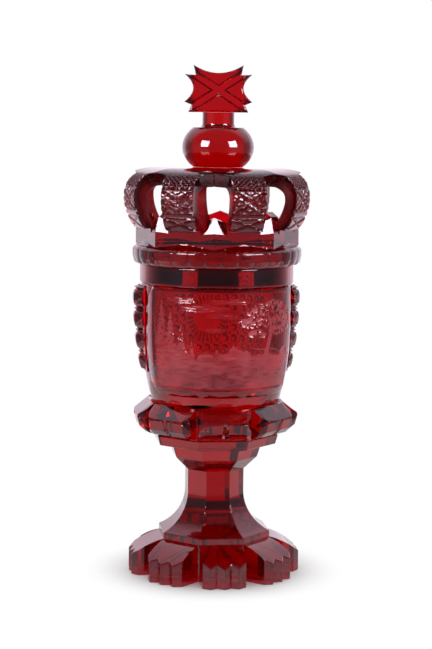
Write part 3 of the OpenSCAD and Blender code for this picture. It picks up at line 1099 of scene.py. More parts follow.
    def bowl(self) -> Shell:
        """Barrel turned about the axis, with eight flats round its base.

        The outside is the smaller of the barrel's radius and the octagon of the
        flats; the hollow runs from the mouth down a rounded bottom, whose radius
        and height follow a superellipse.

        Returns:
            The bowl.
        """
        phi = np.radians(np.arange(0.0, 360.0, 0.5))
        off = (phi + HALF_STEP) % STEP - HALF_STEP
        low_z = self.floor_z
        slope_z = self.neck_z - self.neck_slope
        rows = low_z + np.array(self.base_rows)
        z = np.concatenate([rows, np.linspace(low_z + 14.0, slope_z, 26)])
        flat = np.interp(
            z - low_z, [0.0, self.bevel, self.flat_h + 0.2, 12.0],
            [self.base - self.bevel, self.base, self.outside(low_z + self.flat_h), 60.0],
        )
        flat[0] = self.base_seat
        outside = np.minimum(self.outside(z)[:, None], flat[:, None] / np.cos(off)[None, :])
        neck = ease(np.array([
            [self.radius, slope_z], [self.neck, self.neck_z], [self.neck, self.rim_z],
            [self.mouth, self.rim_z], [self.mouth + self.mouth_draw, self.neck_z],
            [self.inner, self.neck_z - self.mouth_h], [self.inner, self.widest_z],
        ]), *self.rim_ease)[1:]
        fall = np.linspace(88.0, 1.5, 40) * math.pi / 180.0
        depth = self.widest_z - self.hollow_z
        hollow = np.stack([
            self.inner * np.sin(fall) ** self.hollow_power,
            self.hollow_z + depth * (1.0 - np.cos(fall) ** self.hollow_power),
        ], axis=-1)
        inside = np.concatenate([neck, hollow])
        rings = np.concatenate([
            around(outside, phi[None, :], z[:, None]),
            around(inside[:, :1], phi[None, :], inside[:, 1:]),
        ])
        middle = (rings[:-1] + np.roll(rings, -1, 1)[1:]) / 2
        return loft(rings, fused_ends=(True, False), fused=self.covered(middle))

    def covered(self, place: np.ndarray) -> np.ndarray:
        """Places on the bowl's outside that lie under one of the four fields.

        Args:
            place: Points of the bowl, from its foot over its rim to its hollow.

        Returns:
            True where a field is melted on.
        """
        phi = np.abs(np.arctan2(place[..., 0], -place[..., 1]))
        z = place[..., 2]
        outer = np.hypot(place[..., 0], place[..., 1]) > self.outside(z) - 1.0
        front = np.minimum(phi, math.pi - phi)
        edge = self.seam / self.radius
        low, top = self.medal_z
        to_end = np.minimum(z - low, top - z)
        half = self.medal_half - np.clip(self.medal_corner - to_end, 0.0, None) / self.radius
        medal = (front < half - edge) & (to_end > self.seam)
        low, top = self.pad_z
        pad = np.abs(phi - math.pi / 2) < self.pad_half - edge
        pad = pad & (z > low + self.seam) & (z < top - self.seam)
        return outer & (medal | pad)

    def raised(
        self, face: np.ndarray, phi: np.ndarray, z: np.ndarray, marked: np.ndarray | None = None,
    ) -> Shell:
        """Field between its face and the bowl's skin, to which it is melted.

        Args:
            face: Radii of the face, by row and column.
            phi: Angles of its points.
            z: Heights of its rows.
            marked: Marked share for each point of the face, or nothing.

        Returns:
            The field with its middle to the front.
        """
        skin = np.broadcast_to(self.outside(z) + self.film, face.shape)
        rings = np.concatenate([around(face, phi, z), around(skin, phi, z)[:, ::-1]], axis=1)
        melted = np.repeat([[0.0, 1.0]], face.shape[1], axis=1)
        if marked is not None:
            marked = np.concatenate([marked, np.zeros_like(marked)], axis=1)
        return loft(rings, Cap.STRIP, matte_or_shade=marked, fused=melted)

    def medallion(self, cut: MedallionCut) -> Shell:
        """Raised field with cut-off corners and a bevelled border.

        Each row spans the field's angle, less the corner's cut.  The face lies at
        the bowl's radius and the field's thickness; it falls along the border and
        is cut by the given pattern.

        Args:
            cut: Pattern in the face.

        Returns:
            The field with its middle to the front.
        """
        low, top = self.medal_z
        z = np.concatenate([
            [low], np.linspace(low + 0.25, top - 0.8, 160), top - np.array([0.5, 0.25, 0.0]),
        ])[:, None]
        across = np.concatenate([[-1.0], np.linspace(-0.998, 0.998, 252), [1.0]])[None, :]
        wide = self.medal_half * self.radius
        to_end = np.minimum(z - low, top - z)
        half = wide - np.clip(self.medal_corner - to_end, 0.0, None)
        x = across * half
        to_side = wide - np.abs(x)
        to_corner = (to_side + to_end - self.medal_corner) / math.sqrt(2.0)
        low_rim, top_rim, side_rim = self.medal_rim
        rim = np.minimum((z - low) / low_rim, (top - z) / top_rim)
        rim = np.minimum(rim, to_side / side_rim)
        rim = np.minimum(rim, to_corner / self.medal_corner_rim)
        edge = self.medal_edge
        height = self.medal_t * (edge + (1.0 - edge) * np.clip(rim, 0.0, 1.0))
        depth, marked = cut.pattern(x, z - (low + top) / 2)
        inner = smooth(*self.medal_fade, rim)
        face = self.outside(z) + np.maximum(height - depth * inner, self.medal_least)
        return self.raised(face, x / self.radius, z, marked * inner)

    def pad(self) -> Shell:
        """Upright pad of large cut diamonds, parted by narrow ridges between two cuts.

        The rows' section is a line through set depths; V cuts slant from row to
        row, and the face falls off to the sides and ends.

        Returns:
            The pad with its middle to the front.
        """
        low, top = self.pad_z
        z = np.concatenate([[low], np.linspace(low + 0.3, top - 0.3, 230), [top]])[:, None]
        across = np.linspace(-1.0, 1.0, 61)[None, :]
        wide = self.pad_half * self.radius
        x = across * wide
        row = (top - low) / self.pad_rows
        place = ((z - low) / row) % 1.0
        cut = np.interp(place, self.pad_places, self.pad_depths) * self.pad_cut
        lean = ((z - low) - row * self.pad_mid) / (0.5 * row)
        to_left = np.abs(((lean - x / wide) % 2.0) - 1.0)
        to_right = np.abs(((lean + x / wide) % 2.0) - 1.0)
        slants = groove(np.minimum(to_left, to_right) * wide, *self.pad_slant)
        cut = cut + slants * smooth(*self.pad_slant_end, np.abs(across))
        fall, start = self.pad_side
        side = fall * np.clip((np.abs(across) - start) / (1.0 - start), 0.0, 1.0)
        fall, border, power = self.pad_end
        to_end = np.minimum(z - low, top - z)
        ends = fall * np.clip(1.0 - to_end / border, 0.0, 1.0) ** power
        grown = np.clip((z - low) / (top - low) / self.pad_grown, 0.0, 1.0)
        thick = self.pad_low_t + (self.pad_t - self.pad_low_t) * grown
        face = self.outside(z) + np.maximum(thick - cut - side - ends, self.pad_least)
        return self.raised(face, x / self.radius, z)


class MedallionCut:
    """Pattern cut into the face of a medallion."""

    def pattern(self, x: np.ndarray, z: np.ndarray) -> Layer:
        """Depth and marked share over the face.

        Args:
            x: Places across the field along its arc, 0 in the middle.
            z: Heights from the field's middle.

        Returns:
            Depths in mm and marked shares, on the grid of x and z.
        """
        raise NotImplementedError


@dataclass
class LensCut(MedallionCut):
    """Roundel with rays about it, amid rows of lens cuts with small ones between them.

    Attributes:
        pitch: Distance between lens cuts.
        large: Radius and depth of the large ones.
        small: Radius and depth of the small ones.
        roundel: Radius and depth of the roundel.
        roundel_z: Height of its middle.
        rays: Number of rays.
        ray_end: Distance of the rays' ends from the roundel's middle.
        ray_depth: Depth of the rays.
        ray_mark: Share by which the rays are marked with painted shade.
    """

    pitch: float = 6.8
    large: Pair = (2.5, 0.8)
    small: Pair = (1.0, 0.5)
    roundel: Pair = (10.5, 0.5)
    roundel_z: float = 7.0
    rays: int = 28
    ray_end: float = 15.0
    ray_depth: float = 0.5
    ray_mark: float = 0.8

    def pattern(self, x: np.ndarray, z: np.ndarray) -> Layer:
        """Hollows of depth 1 - (distance / radius)^2, with painted shade along one side of their
        edges.

        The rays are grooves at even angles about the roundel.

        Args:
            x: Places across the field.
            z: Heights from the field's middle.

        Returns:
            Depths in mm and marked shares, the painted shade.
        """
        x, z = np.broadcast_arrays(x, z - self.roundel_z)
        out = np.hypot(x, z)
        radius, deep = self.roundel
        beyond = smooth(self.ray_end + 0.5, self.ray_end + 1.5, out)
        depth = deep * dome(out / radius)
        step = np.arctan2(z, x) * self.rays / (2.0 * math.pi)
        ray = smooth(0.36, 0.16, np.abs(step - np.round(step)))
        ray = ray * smooth(radius, radius + 0.8, out) * (1.0 - beyond)
        depth = depth + self.ray_depth * ray
        # Painted shade in the rays' grooves.
        marked = self.ray_mark * ray
        for (radius, deep), shift in ((self.large, 0.0), (self.small, 0.5)):
            off_x, off_z = x / self.pitch - shift, z / self.pitch - shift
            off_x = (off_x - np.round(off_x)) * self.pitch / radius
            off_z = (off_z - np.round(off_z)) * self.pitch / radius
            far = np.hypot(off_x, off_z)
            depth = np.maximum(depth, deep * dome(far) * beyond)
            # Painted shade: a crescent along one side of each lens cut's edge.
            edge = smooth(0.3, 0.65, far) * smooth(1.2, 1.0, far)
            edge = edge * smooth(-0.5, 0.1, 0.6 * off_z - 0.8 * off_x)
            marked = np.maximum(marked, edge * beyond)
        return depth, marked


@dataclass(frozen=True)
class Ground:
    """Places on an engraved field, with its random grains.

    Attributes:
        x: Places across the field.
        z: Heights from its middle.
        coarse: Wide mottle.
        fine: Narrow mottle.
        streak: Level streaks.
    """

    x: np.ndarray
    z: np.ndarray
    coarse: np.ndarray
    fine: np.ndarray
    streak: np.ndarray

    def blobs(self, table: tuple[tuple[float, ...], ...]) -> np.ndarray:
        """Distance from the nearest of several ovals, 1 on its edge.

        Args:
            table: Rows of middle across, middle height, half width and half height.

        Returns:
            The distances.
        """
        cx, cz, a, b = (np.array(column)[:, None, None] for column in zip(*table))
        return np.min(np.hypot((self.x[None] - cx) / a, (self.z[None] - cz) / b), axis=0)


@dataclass
class WoodlandCut(MedallionCut):
    """Engraved glade: rolling meadow, a broad tree, firs on a slope and far hills, ground matte.

    Attributes:
        seed: Seed of the grains.
        deep: Depth of the engraving.
        banks: Clouds, as rows for blobs.
        shrubs: Places, half widths and heights of the shrubs.
        boughs: Masses of leaves, as rows for blobs.
        fir_trees: Places and heights of the firs.
        trunk_x: Place of the broad tree's trunk.
    """

    seed: int = 7
    deep: float = 0.3
    banks: tuple[tuple[float, ...], ...] = (
        (-14.0, 22.5, 17.0, 3.2), (-3.0, 18.0, 12.0, 2.4), (2.0, 27.0, 14.0, 2.0),
        (-30.0, 27.5, 12.0, 2.2), (-8.0, 9.0, 8.0, 1.5),
    )
    shrubs: tuple[tuple[float, ...], ...] = (
        (-13.0, 5.5, 4.6), (-1.0, 4.2, 3.0), (5.5, 5.0, 5.2), (13.0, 3.6, 2.8),
        (45.0, 5.0, 5.0), (54.0, 4.6, 6.0),
    )
    boughs: tuple[tuple[float, ...], ...] = (
        (22.0, 21.0, 9.0, 4.2), (33.0, 23.5, 9.5, 4.6), (15.0, 14.0, 8.0, 3.4),
        (28.0, 14.5, 10.0, 4.2), (41.0, 16.5, 9.0, 4.0), (20.0, 6.5, 7.0, 2.6),
        (37.0, 7.5, 9.0, 3.2), (47.0, 10.5, 6.0, 2.8),
    )
    fir_trees: tuple[Pair, ...] = (
        (-52.0, 21.0), (-44.0, 29.0), (-36.5, 24.0), (-29.0, 19.0), (-22.0, 13.0), (-6.0, 9.0),
    )
    trunk_x: float = 29.0

    def pattern(self, x: np.ndarray, z: np.ndarray) -> Layer:
        """Later parts of the glade lie over earlier ones; each is a mask with its own grain.

        Args:
            x: Places across the field.
            z: Heights from the field's middle.

        Returns:
            Depths in mm and ground shares.
        """
        x, z = np.broadcast_arrays(x, z)
        rng = np.random.default_rng(self.seed)
        coarse = self.mottle(x, z, 5.0, rng)
        fine = 0.45 * self.mottle(x, z, 2.0, rng) + 0.55 * self.mottle(x, z, 1.0, rng)
        streak = self.mottle(x * 0.25, z, 1.1, rng)
        at = Ground(x, z, coarse, fine, streak)
        ground = np.zeros(x.shape)
        relief = np.zeros(x.shape)
        for part in (self.clouds, self.hills, self.firs, self.meadow, self.tree):
            mask, grain = part(at)
            ground = ground * (1.0 - mask) + mask * grain
            relief = relief * (1.0 - mask) + mask * (0.4 + 0.6 * grain)
        return self.deep * relief, np.clip(ground, 0.0, 1.0)

    @staticmethod
    def mottle(
        x: np.ndarray, z: np.ndarray, size: float, rng: np.random.Generator,
    ) -> np.ndarray:
        """Soft random field: values at the corners of a square net, eased between them.

        Args:
            x: Places across the field.
            z: Heights.
            size: Width of the net's squares.
            rng: Source of the values.

        Returns:
            Values from 0 to 1.
        """
        u = (x - x.min()) / size
        v = (z - z.min()) / size
        net = rng.random((int(v.max()) + 2, int(u.max()) + 2))
        i, j = u.astype(int), v.astype(int)
        du, dv = smooth(0.0, 1.0, u - i), smooth(0.0, 1.0, v - j)
        low = net[j, i] * (1.0 - du) + net[j, i + 1] * du
        top = net[j + 1, i] * (1.0 - du) + net[j + 1, i + 1] * du
        return low * (1.0 - dv) + top * dv

    @staticmethod
    def ground_line(x: np.ndarray) -> np.ndarray:
        """Height of the meadow's edge: it rolls in two waves, and rises to a slope at the left."""
        slope = -9.0 + 9.0 * smooth(-14.0, -46.0, x)
        return slope + 1.5 * np.sin(x * 0.09) + 0.7 * np.sin(x * 0.21 + 1.0)

    def clouds(self, at: Ground) -> Layer:
        """Long clouds in the upper part, ovals shaded by level strokes.

        Args:
            at: Places and grains.

        Returns:
            Mask and grain.
        """
        near = at.blobs(self.banks)
        stroke = 0.5 + 0.5 * np.sin(at.z * 4.2 + 1.5 * np.sin(at.x * 0.3))
        mask = smooth(1.1, 0.6, near + 0.7 * (at.streak - 0.5)) * (0.35 + 0.65 * stroke)
        return mask, 0.25 + 0.5 * at.streak

    def hills(self, at: Ground) -> Layer:
        """Far hills under a line of two waves, lightly shaded by slanting lines.

        Args:
            at: Places and grains.

        Returns:
            Mask and grain.
        """
        line = -4.0 + 3.0 * np.sin(at.x * 0.085 + 0.6) + 1.2 * np.sin(at.x * 0.23)
        hatch = 0.5 + 0.5 * np.sin((at.x * 0.7 + at.z) * 2.0)
        return smooth(0.8, -0.8, at.z - line), 0.12 + 0.3 * hatch * at.streak

    def firs(self, at: Ground) -> Layer:
        """Firs on the left slope: tiers of hanging twigs that narrow to a tip.

        Args:
            at: Places and grains.

        Returns:
            Mask and grain.
        """
        mask = np.zeros(at.x.shape)
        for foot_x, height in self.fir_trees:
            up = (at.z - self.ground_line(np.array(foot_x))) / height
            tier = 0.6 + 0.4 * (1.0 - (up * 7.0) % 1.0)
            half = 0.22 * height * np.clip(1.0 - up, 0.0, 1.0) * tier
            body = smooth(0.5, -0.5, np.abs(at.x - foot_x) - half) * (up > -0.2) * (up < 1.0)
            mask = np.maximum(mask, body)
        return mask * smooth(0.28, 0.46, at.fine), 0.4 + 0.45 * at.fine

    def meadow(self, at: Ground) -> Layer:
        """Ground in the lower part: tufts and round shrubs along its edge, long streaks below.

        Args:
            at: Places and grains.

        Returns:
            Mask and grain.
        """
        tuft = 1.2 * np.abs(np.sin(at.x * 1.1)) * np.abs(np.sin(at.x * 0.37 + 0.4))
        tuft = tuft + 0.9 * at.streak
        cx, wide, high = (np.array(column)[:, None, None] for column in zip(*self.shrubs))
        bush = np.max(high * np.sqrt(dome((at.x[None] - cx) / wide)), axis=0)
        over = at.z - self.ground_line(at.x) - tuft - bush * (0.75 + 0.5 * at.coarse)
        return smooth(0.9, -0.9, over), 0.34 + 0.5 * at.streak + 0.25 * at.coarse

    def tree(self, at: Ground) -> Layer:
        """Broad tree right of the middle: level boughs of speckled leaves on a bent trunk.

        Args:
            at: Places and grains.

        Returns:
            Mask and grain.
        """
        near = at.blobs(self.boughs)
        leaves = smooth(1.15, 0.8, near + 0.5 * (at.coarse - 0.5)) * smooth(0.36, 0.52, at.fine)
        bend = self.trunk_x + 1.6 * np.sin(at.z * 0.16)
        half = 1.1 + 0.04 * np.clip(12.0 - at.z, 0.0, None)
        trunk = smooth(0.5, -0.5, np.abs(at.x - bend) - half)
        trunk = trunk * smooth(20.0, 14.0, at.z) * smooth(-12.0, -10.0, at.z)
        return np.maximum(leaves, trunk), np.where(trunk > 0.5, 0.8, 0.45 + 0.5 * at.fine)


@dataclass
class Cover:
    """Cover: plug, scalloped band, crown ring, arches, hub, orb and cross."""

    turn: float = math.radians(-10.5)
    rest_z: float = 203.2
    flange: float = 41.5
    flange_in: Pair = (38.5, 36.8)
    flange_z: float = 191.8
    flange_bevel: float = 0.6
    plug_core: float = 2.0
    plug_rise: float = 1.0
    plug_ease: float = 0.3
    floor_r: float = 47.0
    floor_h: float = 11.8
    boss_r: float = 41.9
    boss_z: float = 225.2
    band: float = 55.0
    band_h: float = 11.8
    band_cut: float = 1.5
    band_lobes: int = 32
    lobe_steps: int = 24
    lobe_round: float = 0.985
    lobe_root: Pair = (0.5, 1.6)
    lobe_top: float = 0.22
    lobe_fade: Pair = (3.2, 0.6)
    neck: float = 50.0
    ring: float = 48.8
    ring_z: Pair = (215.1, 234.4)
    ring_hole: float = 42.0
    ring_flare: Triple = (48.4, 3.8, 3.6)
    gable_rise: float = 0.308
    gable_apart: float = 0.035
    gable_bevel: Triple = (9.4, 0.22, 0.24)
    seat_z: float = 226.2
    film: float = 0.1
    arch_w: float = 22.0
    arch_z: Triple = (226.3, 245.8, 264.8)
    arch_reach: Pair = (53.0, 60.2)
    arch_in: Pair = (44.5, 52.0)
    arch_powers: Pair = (0.72, 0.8)
    arch_top_t: float = 9.3
    # Painted shade on the arches' inner faces: share of the dark marked tint, and the way along
    # the strap over which it fades out towards the hub.
    arch_inner_shade: float = 0.85
    arch_inner_shade_end: Pair = (46.0, 40.0)
    web_d: Pair = (49.0, 52.5)
    hub: float = 26.8
    orb_r: float = 23.2
    orb_z: Pair = (264.9, 290.3)
    orb_half_h: float = 17.6
    orb_foot: float = 12.0
    orb_ease: float = 0.6
    cross_neck: float = 10.3
    neck_flare: float = 2.2
    cross_z: float = 299.9
    cross_h: float = 30.1
    cross_t: float = 13.0
    cross_lean: float = math.radians(33.0)
    cross_cut: Triple = (2.8, 0.9, 1.5)
    cross_tip: Pair = (15.0, 19.5)
    cross_fall: Triple = (1.1, 1.5, 1.5)

    def build(self, shop: Workshop) -> None:
        """Make the cover's pieces.

        Args:
            shop: Workshop that makes the objects.
        """
        shop.piece("cover_plug", self.plug(), Body.COVER, Finish.FLANGE)
        shop.piece("scalloped_band", self.scalloped_band(), Body.COVER)
        shop.piece("crown_ring", self.crown_ring(), Body.COVER)
        arch = self.arch()
        for k in range(8):
            turn = self.turn + HALF_STEP + STEP * k
            shop.piece(f"crown_arch_{k + 1}", turned(arch, turn), Body.COVER, Finish.STRAP)
        shop.piece("crown_hub", self.crown_hub(), Body.COVER)
        shop.piece("orb", self.orb(), Body.COVER)
        shop.piece("cross", self.cross(), Body.COVER, Finish.CROSS)

    def plug(self) -> Shell:
        """Floor and flange, turned about the axis.

        Returns:
            The plug, melted to the band and the ring where it sits in them.
        """
        z = self.rest_z
        floor_top = z + self.floor_h
        bevel, core, rise = self.flange_bevel, self.plug_core, self.plug_rise
        profile = ease(np.array([
            [core, z + rise], [self.flange_in[1], z + rise], [self.flange_in[0], self.flange_z],
            [self.flange - bevel, self.flange_z], [self.flange, self.flange_z + bevel],
            [self.flange, z], [self.floor_r, z], [self.floor_r, floor_top],
            [self.boss_r, floor_top], [self.boss_r, self.boss_z], [core, self.boss_z + rise],
        ]), self.plug_ease)
        r, h = ((profile[1:] + profile[:-1]) / 2).T
        side = (r > self.floor_r - 0.25) & (h > z + 0.3) & (h < floor_top + 0.05)
        shelf = (np.abs(h - floor_top) < 0.2) & (r > self.boss_r - 0.1)
        boss = (r > self.boss_r - 0.1) & (h > floor_top) & (h < self.boss_z - 0.3)
        return loft(spun(profile, 1.0), fused=(side | shelf | boss)[:, None])

    def scalloped_band(self) -> Shell:
        """Band of round lobes: each lobe's section falls from its middle along a circle's arc.

        Returns:
            The band, melted to the plug and the ring.
        """
        columns = np.arange(self.band_lobes * self.lobe_steps)
        phi = 2.0 * math.pi * columns / (self.band_lobes * self.lobe_steps) + self.turn
        t = ((columns / self.lobe_steps + 0.5) % 1.0) * 2.0 - 1.0
        drop = 1.0 - np.sqrt(1.0 - (self.lobe_round * t) ** 2)
        hole = self.floor_r + self.film
        z = self.rest_z
        top = z + self.band_h
        outer = ease(np.array([
            [hole, z], [self.band - 2.2, z], [self.band - 1.0, z + 1.2],
            [self.band - 0.2, z + 4.4], [self.band, z + 6.0], [self.band, z + 9.4],
            [self.band - 1.4, z + 10.8], [self.band - 3.0, top], [hole, top],
        ]), 0.6, 4)
        start, way = self.lobe_root
        share = np.clip((outer[:, 0] - self.neck - start) / way, 0.0, 1.0)
        above, below = self.lobe_fade
        low = smooth(z + above, z + below, outer[:, 1])
        deep = self.band_cut * (self.lobe_top + (1.0 - self.lobe_top) * low)
        radius = outer[:, :1] - drop[None, :] * (share * deep)[:, None]
        r, h = ((outer + np.roll(outer, -1, 0)) / 2).T
        melted = (r < hole + 0.1) | ((h > top - 0.05) & (r < self.band - 3.2))
        rings = around(radius, phi[None, :], outer[:, 1:])
        return loft(rings, Cap.LOOP, fused=melted[:, None])

    def crown_ring(self) -> Shell:
        """Eight-sided ring with a gable at each corner.

        Outside it is the larger of the octagon and a round flare that curves out
        to the band; its top follows the gables' slopes, with a steep bevel, and is
        level at the arches' seats.

        Returns:
            The ring.
        """
        seat = math.atan((self.arch_w / 2 + self.film) / self.ring)
        beside = 4e-4
        one = np.concatenate([
            np.linspace(-HALF_STEP, -seat - beside, 15), np.linspace(-seat, seat, 19),
            np.linspace(seat + beside, HALF_STEP, 15)[:-1],
        ])
        phi = (one[None, :] + STEP * np.arange(8)[:, None]).ravel() + self.turn + HALF_STEP
        off = np.tile(one, 8)
        level = np.ones_like(off)
        low, tip = self.ring_z
        to_corner = self.ring * math.tan(HALF_STEP) - np.abs(self.ring * np.tan(off))
        slope = tip - to_corner * self.gable_rise
        high = np.where(np.abs(off) <= seat, self.seat_z, slope)
        steep, shrink, lean = self.gable_bevel
        open_side = (np.abs(off) > seat).astype(float)
        bevel_h = (steep - shrink * to_corner) * open_side
        foot = high - bevel_h
        raised = foot - np.min(foot[open_side > 0.0])
        ledge = (0.1 + self.gable_apart * to_corner + lean * raised) * open_side
        flat = self.ring / np.cos(off)
        flare_r, flare_out, flare_h = self.ring_flare
        hole = level * self.ring_hole
        rows = [(hole, level * low)]
        for t in np.linspace(0.0, 1.0, 9):
            flare = flare_r + flare_out * (1.0 - t) ** 2
            rows.append((np.maximum(flat, flare), level * (low + flare_h * t)))
        start = high - bevel_h - 0.25
        for t in (0.3, 0.6, 0.9, 1.0):
            rows.append((flat, low + flare_h + (start - low - flare_h) * t))
        start_in = (self.ring - ledge) / np.cos(off)
        end_in = (self.ring - ledge - lean * bevel_h) / np.cos(off)
        rows += [
            (start_in, start + 0.25), (end_in, high - 0.1), (end_in - 0.2, high),
            (level * (self.ring_hole + 0.3), high), (hole, high - 0.3),
            (hole, level * (self.boss_z - 0.2)),
        ]
        melted = np.zeros((len(rows), 1))
        melted[[0, -1]] = 1.0
        rings = np.stack([around(r, phi, z) for r, z in rows])
        return loft(rings, Cap.LOOP, fused=melted)

    def arch_line(self, u: np.ndarray, reach: Pair, rise: float, power: float) -> np.ndarray:
        """Line of an arch from its foot (0) over its widest place (1) to its upper end (2).

        Below, the distance grows with the square of the way; above, both distance
        and height follow a superellipse.

        Args:
            u: Places along the line.
            reach: Distance from the axis at the foot and at the widest place.
            rise: Height from the widest place to the upper end.
            power: Power of the superellipse.

        Returns:
            Rows of distance and height.
        """
        end = self.hub + self.film
        foot, wide = reach
        low = np.stack([
            wide - (wide - foot) * (1.0 - u) ** 2,
            self.arch_z[0] + (self.arch_z[1] - self.arch_z[0]) * u,
        ], axis=-1)
        turn = np.clip(u - 1.0, 0.0, 1.0) * math.pi / 2
        bend = np.stack([
            end + (wide - end) * np.clip(np.cos(turn), 0.0, 1.0) ** power,
            self.arch_z[1] + rise * np.sin(turn) ** power,
        ], axis=-1)
        return np.where(u[:, None] <= 1.0, low, bend)

    def arch(self) -> Shell:
        """Bowed strap with cut blocks, carried along the arch's two lines.

        Towards the hub it spreads until it meets its neighbours in a closed web.

        Returns:
            The strap with its middle to the front.
        """
        fine = np.linspace(0.0, 2.0, 4001)
        rise = self.arch_z[2] - self.arch_z[1]
        power_out, power_in = self.arch_powers
        outer_fine = self.arch_line(fine, self.arch_reach, rise, power_out)
        inner_fine = self.arch_line(fine, self.arch_in, rise - self.arch_top_t, power_in)
        length = way_along(outer_fine)
        s = np.linspace(0.0, length[-1], 210)
        outer = points_at(s, length, outer_fine)
        slope = np.gradient(outer, axis=0)
        slope /= np.linalg.norm(slope, axis=1, keepdims=True)
        inward = np.stack([-slope[:, 1], slope[:, 0]], axis=-1)
        inner = points_at(np.interp(s, length, fine), fine, inner_fine)
        half = self.arch_w / 2
        spread = smooth(self.web_d[1], self.web_d[0], outer[:, 0])
        full = outer[:, 0] * math.tan(HALF_STEP) - 0.02
        full_in = inner[:, 0] * math.tan(HALF_STEP) - 0.02
        wide = half + (full - half) * spread
        wide_in = np.minimum(half + (full_in - half) * spread, wide)
        across = np.concatenate([[-1.0, -0.985], np.linspace(-0.96, 0.96, 85), [0.985, 1.0]])
        edge = np.concatenate([[0.4, 0.12], np.zeros(85), [0.12, 0.4]])[None, :]
        edge = edge * (1.0 - spread[:, None])
        x_out = across[None, :] * wide[:, None]
        cut = StrapCut(half).depth(x_out, s[:, None]) + edge
        ends = smooth(0.0, 1.0, np.minimum(s, s[-1] - s))[:, None]
        cut = cut * ends + edge * (1.0 - ends)
        d_out = outer[:, None, 0] + inward[:, None, 0] * cut
        z_out = outer[:, None, 1] + inward[:, None, 1] * cut
        d_in = np.broadcast_to(inner[:, None, 0], d_out.shape)
        z_in = np.broadcast_to(inner[:, None, 1], d_out.shape)
        front = np.stack([x_out, -d_out, z_out], axis=-1)
        back = np.stack([across[None, :] * wide_in[:, None], -d_in, z_in], axis=-1)[:, ::-1]
        melted = np.zeros((len(s) - 1, 2 * len(across)))
        melted[:, [len(across) - 1, -1]] = (spread[1:] > 0.98)[:, None]
        # Painted shade: the inner face is marked with the dark tint, fading out towards the hub.
        inner_shade = np.repeat([[0.0, self.arch_inner_shade]], len(across), axis=1)
        inner_shade = inner_shade * smooth(*self.arch_inner_shade_end, s)[:, None]
        rings = np.concatenate([front, back], axis=1)
        return loft(rings, Cap.STRIP, (False, True), inner_shade, melted)

    def crown_hub(self) -> Shell:
        """Eight-sided boss between the arches' upper ends.

        Returns:
            The hub, melted to the arches.
        """
        low, top = self.arch_z[2] - self.arch_top_t, self.arch_z[2]
        line = ease(np.array([
            [self.hub - 1.0, low], [self.hub, low], [self.hub, top], [self.hub - 1.0, top],
        ]), 0.1)
        side = ((line[1:, 0] + line[:-1, 0]) / 2 > self.hub - 0.05)[:, None]
        return loft(eight_sided(line, 0.1, self.turn + HALF_STEP), fused=side)

    def orb(self) -> Shell:
        """Flattened ball: an ellipse turned about the axis, cut off flat above and below.

        Returns:
            The orb, melted to the cross's neck.
        """
        low, top = self.orb_z
        z = np.linspace(low, top, 121)
        up = (z - (low + top) / 2) / self.orb_half_h
        bulge = np.stack([self.orb_r * np.sqrt(1.0 - up ** 2), z], axis=-1)
        line = np.concatenate([[[self.orb_foot, low]], bulge, [[self.cross_neck, top]]])
        profile = np.concatenate([
            line[:1], ease(line[[0, 1, 3]], self.orb_ease)[1:], line[4:-4],
            ease(line[[-4, -2, -1]], self.orb_ease)[:-1], line[-1:],
        ])
        return loft(spun(profile, 1.5), fused_ends=(False, True))

    def cross_outline(self) -> np.ndarray:
        """Outline of the cross, anticlockwise seen from the front: x and height over its foot.

        The upper and the side arms end in hollow arcs, the lower arm is flat.

        Returns:
            Points at even distances along the outline.
        """
        h = self.cross_h
        t = np.linspace(-1.0, 1.0, 41)
        side_low, side_top = 0.22 * h, 0.80 * h
        side_x = 21.8 - 5.67 * (1.0 - t ** 2)
        side_z = (side_low + side_top) / 2 + t * (side_top - side_low) / 2
        corner = np.array([
            [19.3, 0.0], [19.05, 0.5], [17.3, 0.14 * h], [17.1, 0.155 * h], [17.4, 0.158 * h],
        ])
        upper = np.array([
            [14.9, 0.7855 * h], [14.6, 0.785 * h], [14.65, 0.79 * h], [15.85, 0.98 * h],
        ])
        right = np.concatenate([corner, np.stack([side_x, side_z], axis=-1), upper])
        top = np.stack([16.0 * -t, h - 0.17 * h * (1.0 - t ** 2)], axis=-1)
        left = right[::-1] * np.array([-1.0, 1.0])
        corners = np.concatenate([right, top, left, right[:1]])
        way = way_along(corners)
        return points_at(np.linspace(0.0, way[-1], 521)[:-1], way, corners)

    def cross(self) -> Shell:
        """Cross with slanting cuts between its arms, over a round neck that sits on the orb.

        A face point lies at a share of the way from the middle to the outline; the
        face falls off towards the outline and is cut along the slanting lines.  The
        cuts' walls, a strip along the upper cuts and the arms' tips are marked with a
        near-black tint: painted shade.

        Returns:
            The cross with its neck.
        """
        outline = self.cross_outline()
        middle = np.array([0.0, 0.47 * self.cross_h])
        share = np.concatenate([np.linspace(0.03, 0.92, 40), [0.95, 0.975, 0.99, 1.0]])
        flat = middle + (outline - middle)[None, :, :] * share[:, None, None]
        gap = np.linalg.norm(outline - middle, axis=1)[None, :] * (1.0 - share[:, None])
        c, s = math.cos(self.cross_lean), math.sin(self.cross_lean)
        rel = flat - middle
        along = np.abs(rel[..., 0]) * c + np.abs(rel[..., 1]) * s
        side = np.abs(rel[..., 1]) * c - np.abs(rel[..., 0]) * s
        off = np.abs(side)
        wide, steep, deep = self.cross_cut
        wall = wide - steep / 2
        line = 0.75 * smooth(0.75, 0.3, np.abs(off - wall))
        strip = smooth(0.0, 0.5, side - wall + 0.1 * along) * smooth(0.3, 0.0, side - wall)
        tip = smooth(*self.cross_tip, along) * smooth(0.5, 1.5, off)
